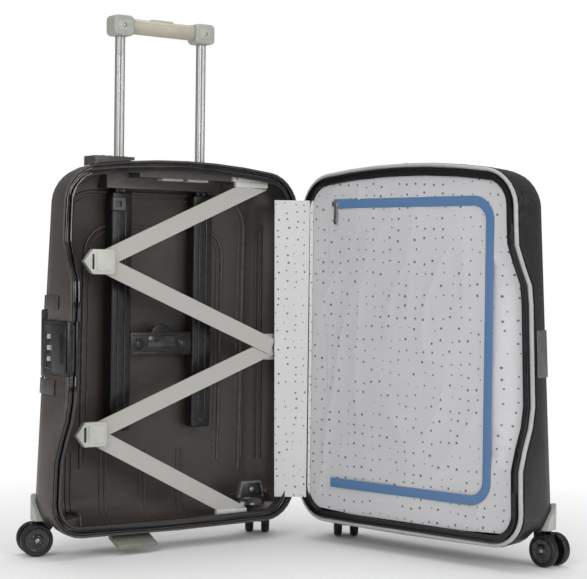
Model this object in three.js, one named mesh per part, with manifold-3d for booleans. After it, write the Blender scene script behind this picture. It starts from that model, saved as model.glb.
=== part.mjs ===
// A hard-shell cabin suitcase on four twin-wheel casters, standing open.
// Back shell: telescopic handle, lock, packing straps. Front shell (lid): zipped lining.
// Millimetres, +Z up. The back shell opens towards -Y and its lock side is at -X.
import * as THREE from 'three';
import Module from 'manifold-3d';
import { mergeVertices } from 'three/addons/utils/BufferGeometryUtils.js';

const wasm = await Module();
wasm.setup();

// ---------- driving dimensions ----------
const caseWidth = 392; // hinge side to lock side, at half height
const caseTop = 545;
const caseBottom = 27; // lowest edge of the rim above the floor
const backDepth = { top: 70, bottom: 80 };
const lidDepth = { top: 86, bottom: 100 };
const wall = 3;
const cornerRadius = 48; // corners of the rim outline
const panelRadius = 40; // fillet between side walls and panel
const wallDraft = 2;
const topCrown = 18; // drop of the rim's top edge at its two ends
const bottomCrown = 3;
const sideTaper = 0.024; // share of width lost between mid height and the top
const waveHeight = 31; // how far the parting line swings forward on the lock side
const waveUpper = [370, 448]; // stretch of height over which it swings back above
const waveLower = [122, 215];
const openAngle = 101; // degrees between the two rims as the case stands
const hingeOut = 3.5; // hinge axis outside the hinge-side walls
const fit = 0.4; // clearance between neighbouring pieces

const rimGap = 0.5; // each mating face stands this far back from the parting plane
const rimWidth = 12;
const rimDepth = 9;
const grooveWidth = 5;
const grooveDepth = 6;
const tongueWidth = 2;
const tongueDepth = 3;
const grooveInset = rimWidth / 2 + wall - grooveWidth / 2; // from the side wall to the groove
const pipingWidth = 6.4;

const wheelRadius = 22.5;
const wheelWidth = 12;
const wheelPitch = 24; // between the middles of the two wheels of a pair
const axleRadius = 2.2;
const casterTrail = 16;
const casterInset = 24; // swivel axis to the side wall
const casterBack = 19; // swivel axis to the panel
const stemRadius = 4;
const stemLength = 9;
const bossRadius = 11;
const wellRoof = 2 * wheelRadius + 5;
const wellRadius = Math.hypot(casterTrail + wheelRadius, (wheelPitch + wheelWidth) / 2) + 1.2;
const coverHeight = 34;
const coverReach = 44;

const tubeSpacing = 134;
const handleCentre = caseWidth / 2 + 6; // from the hinge side
const tubeBack = 58; // tube centre lines behind the parting plane
const upperTube = [14, 10];
const tubeWall = 1.2;
const tubeFoot = 168;
const wellDepth = 37; // recess in the top that the grip sinks into
const wellFloor = caseTop - wellDepth;
const gripRise = 206; // how far the upper stage stands out of its stowed place
const gripWell = { width: 186, front: 42 };
const gripRadius = 11;
const bracketSize = [32, 26, 29];

const lockHeight = [250, 322];
const lockFront = rimGap - waveHeight; // flush with the rim's swing
const lockBack = 38;
const lockProud = 1.5;
const dialRadius = 5;
const dialPitch = 15;
const sideHandleSpan = [241, 340];
const latchWidth = 62;
const topLatchCentre = caseWidth - 80;
const bottomLatchCentre = caseWidth - 124;

const strapWidth = 24;
const strapThickness = 1.6;
const strapBack = 14; // straps lie this far behind the parting plane
const buckleSize = [42, 9, 34];
const upperBuckle = [caseWidth - 68, 402];
const lowerBuckle = [caseWidth - 60, 167];
const strapMiddle = [34, 281];
const topAnchor = [78, caseTop - 31];
const bottomAnchor = [103, caseBottom + wall + 17];
const strapTuck = 6; // straps start this far inside their anchor points
const anchorBar = { half: 30, back: [11, 20], offset: strapWidth / 2 - strapTuck + 4 + fit, tall: 8 };

const carryFront = 2 * rimGap + rimDepth + wall; // pocket of the top carry handle
const carry = {
  centre: caseWidth / 2 - 8,
  half: 72,
  back: [carryFront, carryFront + 23],
  floor: caseTop - 22,
  gap: 11.5,
  thickness: 7,
};
const flap = { across: [18.5, 31], height: [wellRoof + 10, caseTop - 48], thickness: 1.2 };

// ---------- finishes ----------
const finish = (color, roughness, metalness = 0) => ({ color, roughness, metalness });
const shellPlastic = finish(0x403b38, 0.5);
const glossBlack = finish(0x0c0b0c, 0.15);
const blackPlastic = finish(0x1d1c1d, 0.4);
const greyPlastic = finish(0xb0b2aa, 0.45);
const palePlastic = finish(0xc8cac0, 0.5);
const aluminium = finish(0xc4c6c4, 0.3, 0.9);
const steel = finish(0xa8a8a8, 0.3, 1);
const webbing = finish(0xb8b5b0, 0.9);
const liningCloth = finish(0xd4d4d4, 0.9);
const zipBlue = finish(0x4b78a8, 0.7);
const gripRubber = finish(0xb9b4a2, 0.7);
const pipingGrey = finish(0xb9b9bb, 0.5);

// ---------- solids ----------
function solid(geometry) {
  const bare = new THREE.BufferGeometry();
  bare.setAttribute('position', geometry.getAttribute('position').clone());
  if (geometry.index) bare.setIndex(geometry.index.clone());
  const merged = mergeVertices(bare, 1e-4);
  return new wasm.Manifold(new wasm.Mesh({
    numProp: 3,
    vertProperties: new Float32Array(merged.getAttribute('position').array),
    triVerts: new Uint32Array(merged.index.array),
  }));
}

function geometryOf(manifold) {
  const mesh = manifold.getMesh();
  const geometry = new THREE.BufferGeometry();
  geometry.setAttribute('position', new THREE.BufferAttribute(mesh.vertProperties, 3));
  geometry.setIndex(new THREE.BufferAttribute(mesh.triVerts, 1));
  return geometry;
}

function piece(parent, name, shape, look) {
  const geometry = shape instanceof THREE.BufferGeometry ? shape : geometryOf(shape);
  const mesh = new THREE.Mesh(geometry, new THREE.MeshStandardMaterial(look));
  mesh.name = name;
  parent.add(mesh);
  return mesh;
}

// A box between two corners.
function block(low, high) {
  const geometry = new THREE.BoxGeometry(high[0] - low[0], high[1] - low[1], high[2] - low[2]);
  geometry.translate((low[0] + high[0]) / 2, (low[1] + high[1]) / 2, (low[2] + high[2]) / 2);
  return solid(geometry);
}

// An upright cylinder between two heights.
function post(x, y, low, high, radius, sides = 20) {
  const geometry = new THREE.CylinderGeometry(radius, radius, high - low, sides);
  geometry.rotateX(Math.PI / 2);
  geometry.translate(x, y, (low + high) / 2);
  return solid(geometry);
}

function roundedRectangle(width, height, radius) {
  const shape = new THREE.Shape();
  const x = width / 2 - radius;
  const y = height / 2 - radius;
  shape.absarc(x, y, radius, 0, Math.PI / 2);
  shape.absarc(-x, y, radius, Math.PI / 2, Math.PI);
  shape.absarc(-x, -y, radius, Math.PI, 1.5 * Math.PI);
  shape.absarc(x, -y, radius, 1.5 * Math.PI, 2 * Math.PI);
  return shape;
}

function extrude(shape, depth, curveSegments = 5) {
  return new THREE.ExtrudeGeometry(shape, { depth, bevelEnabled: false, curveSegments });
}

// A rounded bar with its length along z, between two heights.
function uprightBar(x, y, size, radius, low, high, curveSegments = 2) {
  const geometry = extrude(roundedRectangle(size[0], size[1], radius), high - low, curveSegments);
  geometry.translate(x, y, low);
  return solid(geometry);
}

// ---------- the case outline ----------
// Points are given as across (from the hinge side), height and back (from the parting plane).
const middleHeight = (caseTop + caseBottom) / 2;
const halfHeight = (caseTop - caseBottom) / 2;
const cornerSteps = 7;
const edgeSteps = { top: 6, lock: 15, bottom: 4, hinge: 4 };

function warp(across, height) {
  const up = (height - middleHeight) / halfHeight;
  const aside = (2 * across) / caseWidth - 1;
  const crown = up > 0 ? topCrown : bottomCrown;
  return { across: across * (1 - sideTaper * up), height: height - crown * aside * aside * up };
}

function smooth(value, [low, high]) {
  const t = THREE.MathUtils.clamp((value - low) / (high - low), 0, 1);
  return t * t * (3 - 2 * t);
}

function wave(height) {
  return waveHeight * smooth(height, waveLower) * (1 - smooth(height, waveUpper));
}

// The rim outline moved inwards, as a ring of points that match from inset to inset.
function outline(inset) {
  const radius = Math.max(cornerRadius - inset, 6);
  const low = [inset + radius, caseBottom + inset + radius];
  const high = [caseWidth - inset - radius, caseTop - inset - radius];
  const corners = [
    { centre: [high[0], low[1]], from: -90, edge: edgeSteps.lock },
    { centre: [high[0], high[1]], from: 0, edge: edgeSteps.top },
    { centre: [low[0], high[1]], from: 90, edge: edgeSteps.hinge },
    { centre: [low[0], low[1]], from: 180, edge: edgeSteps.bottom },
  ];
  const ring = [];
  corners.forEach((corner, i) => {
    const onArc = (angle) => {
      const turn = THREE.MathUtils.degToRad(angle);
      return [corner.centre[0] + radius * Math.cos(turn), corner.centre[1] + radius * Math.sin(turn)];
    };
    for (let k = 0; k <= cornerSteps; k++) ring.push(onArc(corner.from + (90 * k) / cornerSteps));
    const next = corners[(i + 1) % corners.length].centre;
    const start = ring[ring.length - 1];
    const turn = THREE.MathUtils.degToRad(corner.from + 90);
    const end = [next[0] + radius * Math.cos(turn), next[1] + radius * Math.sin(turn)];
    for (let k = 1; k < corner.edge; k++) {
      const t = k / corner.edge;
      ring.push([start[0] + (end[0] - start[0]) * t, start[1] + (end[1] - start[1]) * t]);
    }
  });
  return ring.map(([across, height]) => ({
    ...warp(across, height),
    swing: across > caseWidth / 2 ? wave(height) : 0,
  }));
}

// edge is how far the wall's rim stands behind the parting line: the lid's piping sits there.
const shells = {
  back: { side: 1, depth: backDepth, edge: rimGap },
  lid: { side: -1, depth: lidDepth, edge: rimGap + pipingWidth + 2 * fit },
};

function panelBack(shell, height) {
  const share = (height - caseBottom) / (caseTop - caseBottom);
  return shell.depth.bottom + (shell.depth.top - shell.depth.bottom) * share;
}

// Where the rim's edge lies: the back shell swings forward, the lid swings back.
const rimBack = (shell, point) => -shell.side * point.swing;

function toModel(shell, point, back) {
  return [-point.across, shell.side * back, point.height];
}

// Joins matching rings of points into a skin. Open ends are closed with a fan.
function skin(rings, closed) {
  const points = rings.flat();
  const count = rings[0].length;
  const faces = [];
  const last = closed ? rings.length : rings.length - 1;
  for (let r = 0; r < last; r++) {
    const next = (r + 1) % rings.length;
    for (let i = 0; i < count; i++) {
      const j = (i + 1) % count;
      const corners = [r * count + i, r * count + j, next * count + j, next * count + i];
      faces.push([corners[0], corners[1], corners[2]], [corners[0], corners[2], corners[3]]);
    }
  }
  if (!closed) {
    const middle = (ring) => ring.reduce((sum, p) => sum.map((s, k) => s + p[k] / count), [0, 0, 0]);
    const first = points.push(middle(rings[0])) - 1;
    const end = points.push(middle(rings[rings.length - 1])) - 1;
    const offset = (rings.length - 1) * count;
    for (let i = 0; i < count; i++) {
      const j = (i + 1) % count;
      faces.push([first, j, i], [end, offset + i, offset + j]);
    }
  }
  const volume = faces.reduce((sum, [a, b, c]) => {
    const [p, q, r] = [a, b, c].map((i) => new THREE.Vector3(...points[i]));
    return sum + p.dot(q.cross(r));
  }, 0);
  const wound = volume > 0 ? faces : faces.map(([a, b, c]) => [a, c, b]);
  const geometry = new THREE.BufferGeometry();
  geometry.setAttribute('position', new THREE.Float32BufferAttribute(points.flat(), 3));
  geometry.setIndex(wound.flat());
  return solid(geometry);
}

// One ring of a shell: inset from the outline, and its place behind the rim or the panel.
function ringAt(shell, inset, { fromRim, fromPanel, plane }) {
  return outline(inset).map((point) => {
    if (plane !== undefined) return toModel(shell, point, plane);
    if (fromRim !== undefined) return toModel(shell, point, rimBack(shell, point) + fromRim);
    return toModel(shell, point, panelBack(shell, point.height) + fromPanel);
  });
}

const filletSteps = 4;

// Rings from the panel to the rim, offset outwards by grow (negative for the inside).
function wallRings(shell, grow) {
  const rings = [];
  for (let k = filletSteps; k >= 0; k--) {
    const turn = (Math.PI / 2) * (k / filletSteps);
    const radius = panelRadius + grow;
    const inset = wallDraft + panelRadius - radius * Math.cos(turn);
    rings.push(ringAt(shell, inset, { fromPanel: -panelRadius + radius * Math.sin(turn) }));
  }
  rings.push(ringAt(shell, -grow, { fromRim: shell.edge }));
  return rings;
}

// The filled outer shape of a shell, grown outwards, reaching in front of the rim.
function envelope(shell, grow) {
  return skin([...wallRings(shell, grow), ringAt(shell, -grow, { plane: -60 })], false);
}

// A closed bar that runs round the rim: its section is a list of [inset, behind the rim].
function rimBar(shell, section) {
  return skin(section.map(([inset, fromRim]) => ringAt(shell, inset, { fromRim })), true);
}

// Adds pockets: every wall inside the case first, then every hollow seen from outside.
function withPockets(shellSolid, filled, pockets) {
  const walled = pockets.reduce((sum, { outer }) => sum.add(outer.intersect(filled)), shellSolid);
  return pockets.reduce((sum, { inner }) => sum.subtract(inner), walled);
}

function emptyShell(shell) {
  const outer = wallRings(shell, 0);
  const inner = wallRings(shell, -wall).reverse();
  return skin([...outer, ...inner], false);
}

// ---------- casters ----------
const lockSideAcross = warp(caseWidth, 2 * wellRoof).across;
const casterPlaces = {
  back_lock: { shell: shells.back, across: lockSideAcross - casterInset, heading: 166 },
  back_hinge: { shell: shells.back, across: casterInset, heading: 54 },
  lid_lock: { shell: shells.lid, across: lockSideAcross - casterInset, heading: 174 },
  lid_hinge: { shell: shells.lid, across: casterInset, heading: 133 },
};

function casterPoint({ shell, across }) {
  return [-across, shell.side * (panelBack(shell, wellRoof) - casterBack)];
}

function wheelGeometry() {
  const half = wheelWidth / 2;
  const bore = axleRadius + fit;
  const hubRadius = 7;
  const shoulder = 3.5;
  const profile = [
    [bore, -half + 1], [hubRadius, -half], [wheelRadius - shoulder, -half],
    [wheelRadius, -half + shoulder], [wheelRadius, half - shoulder],
    [wheelRadius - shoulder, half], [hubRadius, half], [bore, half - 1],
  ].map(([radius, along]) => new THREE.Vector2(radius, along));
  profile.push(profile[0].clone());
  return new THREE.LatheGeometry(profile, 20);
}

// A fork built heading along +X with its swivel axis at the origin.
function forkSolid() {
  const blade = wheelPitch - wheelWidth - 2;
  const crest = wheelRadius * 2 + 1.2;
  const profile = new THREE.Shape();
  profile.moveTo(-8, crest);
  profile.lineTo(-8, 38);
  profile.lineTo(casterTrail - 7, wheelRadius - 4);
  profile.absarc(casterTrail, wheelRadius, 8, 1.15 * Math.PI, 2.1 * Math.PI);
  profile.lineTo(casterTrail + 5, crest);
  const body = extrude(profile, blade, 4);
  body.rotateX(Math.PI / 2);
  body.translate(0, blade / 2, 0);
  const axle = new THREE.CylinderGeometry(axleRadius, axleRadius, wheelPitch + wheelWidth - 3, 12);
  axle.translate(casterTrail, 0, wheelRadius);
  return solid(body)
    .add(solid(axle))
    .add(post(0, 0, crest - 1, wellRoof - 0.6, 14, 20))
    .add(post(0, 0, wellRoof - 1, wellRoof + stemLength, stemRadius, 12));
}

function addCaster(parent, name, place) {
  const [x, y] = casterPoint(place);
  const swivel = new THREE.Group();
  swivel.position.set(x, y, 0);
  swivel.rotation.z = THREE.MathUtils.degToRad(place.heading);
  parent.add(swivel);
  piece(swivel, `caster_${name}_fork`, forkSolid(), blackPlastic);
  for (const [side, sign] of [['left', 1], ['right', -1]]) {
    const wheel = piece(swivel, `caster_${name}_wheel_${side}`, wheelGeometry(), blackPlastic);
    wheel.position.set(casterTrail, (sign * wheelPitch) / 2, wheelRadius);
  }
}

// A wheel well in a shell corner, and the boss above it that holds the caster stem.
function wheelWell(place) {
  const [x, y] = casterPoint(place);
  return [
    {
      outer: post(x, y, caseBottom - 20, wellRoof + wall, wellRadius + wall, 28),
      inner: post(x, y, caseBottom - 30, wellRoof, wellRadius, 28),
    },
    {
      outer: post(x, y, wellRoof + 0.5, wellRoof + stemLength + 4, bossRadius),
      inner: post(x, y, wellRoof - 1, wellRoof + stemLength + 1, stemRadius + fit),
    },
  ];
}

// The pale corner cap over a wheel well, wrapped round the case corner.
function wheelCover(place, filledWide) {
  const { shell, across } = place;
  const hingeSide = across < caseWidth / 2;
  const proud = hingeSide ? 2 : 3;
  const edge = hingeSide ? -proud : lockSideAcross + proud;
  const back = panelBack(shell, wellRoof) + 3;
  const corner = [-edge, shell.side * back];
  const plan = roundedRectangle(2 * coverReach * 1.6, 2 * coverReach * 1.4, panelRadius - 4);
  const prism = extrude(plan, coverHeight + 5, 6);
  const inward = [(hingeSide ? -1 : 1) * coverReach * 1.6, -shell.side * coverReach * 1.4];
  prism.translate(corner[0] + inward[0], corner[1] + inward[1], wellRoof + fit);
  const arch = (reach) => {
    const half = new THREE.Shape();
    half.absellipse(0, 0, reach, coverHeight, 0, Math.PI, false);
    return half;
  };
  const alongX = extrude(arch(coverReach), 400, 10);
  alongX.rotateX(Math.PI / 2);
  alongX.rotateZ(Math.PI / 2);
  alongX.translate(corner[0] - 200, corner[1], wellRoof);
  const alongY = extrude(arch(coverReach * 1.4), 400, 10);
  alongY.rotateX(Math.PI / 2);
  alongY.translate(corner[0], corner[1] + 200, wellRoof);
  const [stemX, stemY] = casterPoint(place);
  const stemRoom = post(stemX, stemY, wellRoof - 1, wellRoof + stemLength + 2, stemRadius + 2 * fit);
  const arched = solid(prism).intersect(solid(alongX)).intersect(solid(alongY));
  return arched.subtract(filledWide).subtract(stemRoom);
}

// ---------- telescopic handle ----------
const tubeSection = (stage) => upperTube.map((size) => size + stage * (2 * tubeWall + 2 * fit));
const tubeCentres = { left: handleCentre + tubeSpacing / 2, right: handleCentre - tubeSpacing / 2 };

function hollowTube(across, size, low, high) {
  const inner = size.map((value) => value - 2 * tubeWall);
  return uprightBar(-across, tubeBack, size, 4, low, high)
    .subtract(uprightBar(-across, tubeBack, inner, 4 - tubeWall, low - 5, high + 5));
}

function addHandle(root) {
  const outerTop = wellFloor - wall - fit;
  const middleFoot = tubeFoot + 6;
  const upperFoot = middleFoot + 8;
  const base = wellFloor + 4 + gripRise;
  for (const [side, across] of Object.entries(tubeCentres)) {
    const stages = {
      outer: hollowTube(across, tubeSection(2), tubeFoot, outerTop),
      middle: hollowTube(across, tubeSection(1), middleFoot, outerTop),
      upper: hollowTube(across, upperTube, upperFoot + gripRise, base),
    };
    for (const [stage, tube] of Object.entries(stages)) {
      piece(root, `${stage}_tube_${side}`, tube, aluminium);
    }
  }
  addGrip(root, base);
}

function addGrip(root, base) {
  const [wide, deep, tall] = bracketSize;
  const centre = base + tall - gripRadius - 2;
  for (const [side, across] of Object.entries(tubeCentres)) {
    const body = extrude(roundedRectangle(wide, tall, 7), deep, 4);
    body.rotateX(Math.PI / 2);
    body.translate(-across, tubeBack + deep / 2, base + tall / 2 + fit);
    piece(root, `grip_bracket_${side}`, body, greyPlastic);
  }
  const inner = tubeSpacing / 2 - wide / 2 - fit;
  const bar = new THREE.CylinderGeometry(gripRadius, gripRadius, 2 * inner, 20);
  bar.rotateZ(Math.PI / 2);
  bar.translate(-handleCentre, tubeBack, centre);
  const buttonHalf = 18;
  const slot = block(
    [-handleCentre - buttonHalf - fit, tubeBack - 5 - fit, centre - 2],
    [-handleCentre + buttonHalf + fit, tubeBack + 5 + fit, centre + gripRadius + 5],
  );
  piece(root, 'handle_grip', solid(bar).subtract(slot), gripRubber);
  const buttonTop = centre + gripRadius + 1.5;
  const button = uprightBar(-handleCentre, tubeBack, [2 * buttonHalf, 10], 4, centre + 3.5, buttonTop);
  piece(root, 'release_button', button, blackPlastic);
}

// Covers over the outer tubes inside the case, and the plate that braces them.
const coverWidth = 32;
const coverFront = 46.5;
const coverSkin = 2.6;
const plate = { height: [270, 304], thickness: 3, bump: [15, 11], back: coverFront + 2 };
const plateLeg = { radius: 5, length: 17, inset: 9 };

function addTubeCovers(root) {
  const [tubeWide] = tubeSection(2);
  const coverBack = backDepth.top - wall - 0.5;
  for (const [side, across] of Object.entries(tubeCentres)) {
    const low = tubeFoot - 2;
    const high = wellFloor - wall - 5;
    const body = block(
      [-across - coverWidth / 2, coverFront, low],
      [-across + coverWidth / 2, coverBack, high],
    );
    const half = tubeWide / 2 + fit + 0.2;
    const channel = block(
      [-across - half, coverFront + coverSkin, low - 5],
      [-across + half, coverBack + 5, high + 5],
    );
    piece(root, `tube_cover_${side}`, body.subtract(channel), blackPlastic);
  }
  const half = tubeSpacing / 2 - coverWidth / 2 - fit;
  const [low, high] = plate.height;
  const [bumpHalf, bumpTall] = plate.bump;
  const face = new THREE.Shape();
  face.moveTo(-half, low);
  face.lineTo(half, low);
  face.lineTo(half, high);
  face.lineTo(bumpHalf, high);
  face.absellipse(0, high, bumpHalf, bumpTall, 0, Math.PI, false);
  face.lineTo(-half, high);
  const front = extrude(face, plate.thickness, 8);
  front.rotateX(Math.PI / 2);
  front.translate(-handleCentre, plate.back + plate.thickness, 0);
  const legs = [-1, 1].map((sign) => {
    const leg = new THREE.CylinderGeometry(plateLeg.radius, plateLeg.radius, plateLeg.length, 14);
    const across = -handleCentre + sign * (half - plateLeg.inset);
    leg.translate(across, plate.back + 2 + plateLeg.length / 2, (low + high) / 2);
    return solid(leg);
  });
  piece(root, 'support_plate', legs.reduce((sum, leg) => sum.add(leg), solid(front)), blackPlastic);
}

// ---------- lock side: lock, side handle and latches ----------
const lockInner = caseWidth - 16;
const lockOuter = caseWidth + lockProud;
const lockMiddle = (lockHeight[0] + lockHeight[1]) / 2;
const dialBack = 23;
const dialCentre = lockOuter - dialRadius + 1.6;
const dialHeights = [-1, 0, 1].map((step) => lockMiddle + step * dialPitch);
const dialThickness = 6;
const keyBack = 13;
const keyRadius = 3.2;

function acrossRod(back, height, from, to, radius) {
  const rod = new THREE.CylinderGeometry(radius, radius, to - from, 16);
  rod.rotateZ(Math.PI / 2);
  rod.translate(-(from + to) / 2, back, height);
  return solid(rod);
}

function lockBlock(grow) {
  return block(
    [-lockOuter - 20 * grow, lockFront - grow, lockHeight[0] - grow],
    [-lockInner + grow, lockBack + grow, lockHeight[1] + grow],
  );
}

function addLock(root) {
  const cavity = block(
    [-lockOuter + 5.5, lockFront + 5, lockHeight[0] + 5],
    [-lockInner + 5, lockBack - 4, lockHeight[1] - 5],
  );
  const groove = block(
    [-caseWidth + grooveInset, lockFront - 5, lockHeight[0] - 5],
    [-caseWidth + grooveInset + grooveWidth, lockFront + grooveDepth, lockHeight[1] + 5],
  );
  let housing = lockBlock(0).subtract(cavity).subtract(groove);
  const windowHalf = dialRadius + fit;
  dialHeights.forEach((height, i) => {
    const half = dialThickness / 2 + fit;
    housing = housing.subtract(block(
      [-lockOuter - 5, dialBack - windowHalf, height - half],
      [-dialCentre + windowHalf, dialBack + windowHalf, height + half],
    ));
    const dial = post(-dialCentre, dialBack, height - half + fit, height + half - fit, dialRadius, 20);
    const bore = post(-dialCentre, dialBack, height - half, height + half, 1.6, 12);
    piece(root, `lock_dial_${i + 1}`, dial.subtract(bore), palePlastic);
  });
  const shaft = post(-dialCentre, dialBack, lockHeight[0] + 2, lockHeight[1] - 2, 1.2, 12);
  const keyHole = acrossRod(keyBack, lockMiddle, lockInner + 2, lockOuter + 5, keyRadius + fit);
  housing = housing.subtract(keyHole).add(shaft);
  piece(root, 'lock_housing', housing, blackPlastic);
  const key = acrossRod(keyBack, lockMiddle, lockOuter - 8, lockOuter + 0.6, keyRadius);
  const keyway = block(
    [-lockOuter - 2, keyBack - 0.5, lockMiddle - 2],
    [-lockOuter + 3, keyBack + 0.5, lockMiddle + 2],
  );
  piece(root, 'key_cylinder', key.subtract(keyway), steel);
  const lever = block(
    [-lockOuter - fit - 3, lockFront + 1, lockHeight[0] + 4],
    [-lockOuter - fit, keyBack - keyRadius - 2, lockHeight[1] - 4],
  );
  piece(root, 'side_latch', lever, blackPlastic);
}

const sideHandleBack = 52;
const sidePocket = { back: [38, 67], depth: 30 };

function sidePocketBlocks() {
  const [low, high] = [sideHandleSpan[0] - 4, sideHandleSpan[1] + 4];
  const floor = caseWidth - sidePocket.depth;
  const [front, back] = sidePocket.back;
  return {
    outer: block([-caseWidth - 20, front - wall, low - wall], [-floor + wall, back + wall, high + wall]),
    inner: block([-caseWidth - 30, front, low], [-floor, back, high]),
  };
}

function addSideHandle(root, filledNear, filledProud) {
  const centre = caseWidth - 10.5;
  const [low, high] = sideHandleSpan;
  const bar = uprightBar(-centre, sideHandleBack, [11, 19], 5, low + 3 + fit, high - 3 - fit);
  piece(root, 'side_handle', bar, glossBlack);
  const caps = { upper: [high - 3, high + 16], lower: [low - 18, low + 3] };
  for (const [name, [bottom, top]] of Object.entries(caps)) {
    const window = block([-caseWidth - 30, 4, bottom], [-caseWidth + 30, 66, top]);
    const cap = filledProud.subtract(filledNear).intersect(window);
    piece(root, `side_handle_mount_${name}`, cap, shellPlastic);
  }
}

const latchReach = [-8, 24]; // from in front of the rim to the latch hinge
const bottomLatchDrop = 22; // degrees that the bottom latch hangs open

function addLatches(root, filledNear) {
  const across = (centre) => [-centre - latchWidth / 2, -centre + latchWidth / 2];
  const [left, right] = across(topLatchCentre);
  const topBar = block([left, latchReach[0], caseTop - 20], [right, latchReach[1], caseTop + 0.5]);
  piece(root, 'top_latch', topBar.subtract(filledNear), blackPlastic);
  const [low, high] = across(bottomLatchCentre);
  const thick = 6;
  const bottomBar = block([low, latchReach[0], caseBottom - thick], [high, latchReach[1], caseBottom + 15]);
  const shape = geometryOf(bottomBar.subtract(filledNear));
  const hinge = new THREE.Group();
  hinge.position.set(0, latchReach[1], caseBottom - thick);
  hinge.rotation.x = THREE.MathUtils.degToRad(bottomLatchDrop);
  root.add(hinge);
  shape.translate(0, -latchReach[1], -(caseBottom - thick));
  piece(hinge, 'bottom_latch', shape, greyPlastic);
}

// ---------- packing straps ----------
function strapLeg(from, to, back) {
  const length = Math.hypot(to[0] - from[0], to[1] - from[1]);
  const leg = new THREE.BoxGeometry(length, strapThickness, strapWidth);
  leg.rotateY(Math.atan2(to[1] - from[1], to[0] - from[0]));
  leg.translate(-(from[0] + to[0]) / 2, back + strapThickness / 2, (from[1] + to[1]) / 2);
  return solid(leg);
}

function addStraps(root) {
  const below = ([across, height], drop) => [across, height - drop];
  const lowerBack = strapBack + strapThickness + 2 * fit;
  const upper = strapLeg(below(topAnchor, strapTuck), upperBuckle, strapBack)
    .add(strapLeg(upperBuckle, strapMiddle, strapBack));
  const lower = strapLeg(strapMiddle, lowerBuckle, lowerBack)
    .add(strapLeg(lowerBuckle, below(bottomAnchor, -strapTuck), lowerBack));
  piece(root, 'strap_upper', upper, webbing);
  piece(root, 'strap_lower', lower, webbing);
  const [wide, thick, tall] = buckleSize;
  const chamfer = 4;
  const tip = { shoulder: 8, reach: 6 };
  const slotInset = 7;
  const slotWide = 3;
  for (const [name, [across, height], back] of [
    ['upper', upperBuckle, strapBack],
    ['lower', lowerBuckle, lowerBack],
  ]) {
    const face = new THREE.Shape();
    face.moveTo(wide / 2, chamfer - tall / 2);
    face.lineTo(wide / 2 - chamfer, -tall / 2);
    face.lineTo(-wide / 2 + tip.shoulder, -tall / 2);
    face.lineTo(-wide / 2 - tip.reach, 0);
    face.lineTo(-wide / 2 + tip.shoulder, tall / 2);
    face.lineTo(wide / 2 - chamfer, tall / 2);
    face.lineTo(wide / 2, tall / 2 - chamfer);
    const body = extrude(face, thick);
    body.rotateX(Math.PI / 2);
    body.translate(-across, back - fit, height);
    const slot = block(
      [-across - wide / 2 + slotInset, back - 2 * thick, height - tall / 2 + slotInset],
      [-across - wide / 2 + slotInset + slotWide, back + thick, height + tall / 2 - slotInset],
    );
    piece(root, `buckle_${name}`, solid(body).subtract(slot), palePlastic);
  }
  const anchors = { top: topAnchor, bottom: bottomAnchor };
  for (const [name, [across, height]] of Object.entries(anchors)) {
    const middle = height + (name === 'top' ? 1 : -1) * anchorBar.offset;
    const bar = block(
      [-across - anchorBar.half, anchorBar.back[0], middle - anchorBar.tall / 2],
      [-across + anchorBar.half, anchorBar.back[1], middle + anchorBar.tall / 2],
    );
    piece(root, `strap_anchor_${name}`, bar, palePlastic);
  }
}

// ---------- hinge ----------
const hingeHeights = [140, 440];
const knuckles = 5;
const knuckleRadius = 3.1;
const pinRadius = 1.5;
const leafThickness = 1.5;
const leafBack = 20;

function hingeLeaf(side) {
  const [low, high] = hingeHeights;
  const step = (high - low) / knuckles;
  const near = knuckleRadius + 0.5;
  const yRange = (a, b) => (side > 0 ? [a, b] : [-b, -a]);
  const [front, back] = yRange(near, leafBack);
  let leaf = block([fit, front, low], [fit + leafThickness, back, high]);
  const [tabFront, tabBack] = yRange(0, near + 1);
  for (let k = side > 0 ? 0 : 1; k < knuckles; k += 2) {
    const bottom = low + k * step + fit / 2;
    const top = low + (k + 1) * step - fit / 2;
    leaf = leaf.add(block([fit, tabFront, bottom], [fit + leafThickness, tabBack, top]));
    leaf = leaf.add(post(hingeOut, 0, bottom, top, knuckleRadius, 16));
  }
  return leaf.subtract(post(hingeOut, 0, low - 5, high + 5, pinRadius + fit / 2, 16));
}

// ---------- lid lining ----------
const liningEdge = 17.6;
const liningMargin = 62; // the lining is flat inside this inset
const liningPlane = 8;
const liningThickness = 3;
const zipSpan = { across: [60, caseWidth - 47], height: [81, caseTop - 48] };
const zipWidth = 13;
const zipThickness = 1.6;
const pullerSize = [6, 1.8, 31];

function addLining(lid) {
  const shell = shells.lid;
  const face = (extra) => [
    ringAt(shell, liningMargin, { plane: liningPlane + extra }),
    ringAt(shell, liningEdge, { fromRim: liningPlane - 2 + extra }),
  ];
  const rings = [...face(0), ...face(liningThickness).reverse()];
  piece(lid, 'lining_panel', skin(rings, false), liningCloth);

  const [from, to] = zipSpan.across;
  const [low, high] = zipSpan.height;
  const frontBack = -(liningPlane - 3 + zipThickness / 2);
  const frame = (shrink, radius) => {
    const plate = extrude(
      roundedRectangle(to - 2 * shrink, high - low - 2 * shrink, radius),
      zipThickness + shrink,
      6,
    );
    plate.rotateX(Math.PI / 2);
    plate.translate(-to / 2, frontBack + (zipThickness + shrink) / 2, (low + high) / 2);
    return solid(plate);
  };
  const ends = block([-from, -10 * zipThickness, 0], [0, 0, caseTop]);
  piece(lid, 'zip_track', frame(0, 26).subtract(frame(zipWidth, 14)).subtract(ends), zipBlue);
  const tabBack = frontBack + zipThickness / 2 + fit;
  const tab = block(
    [-from - 1 - pullerSize[0], tabBack, high - 5 - pullerSize[2]],
    [-from - 1, tabBack + pullerSize[1], high - 5],
  );
  piece(lid, 'zip_puller', tab, steel);
}

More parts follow.
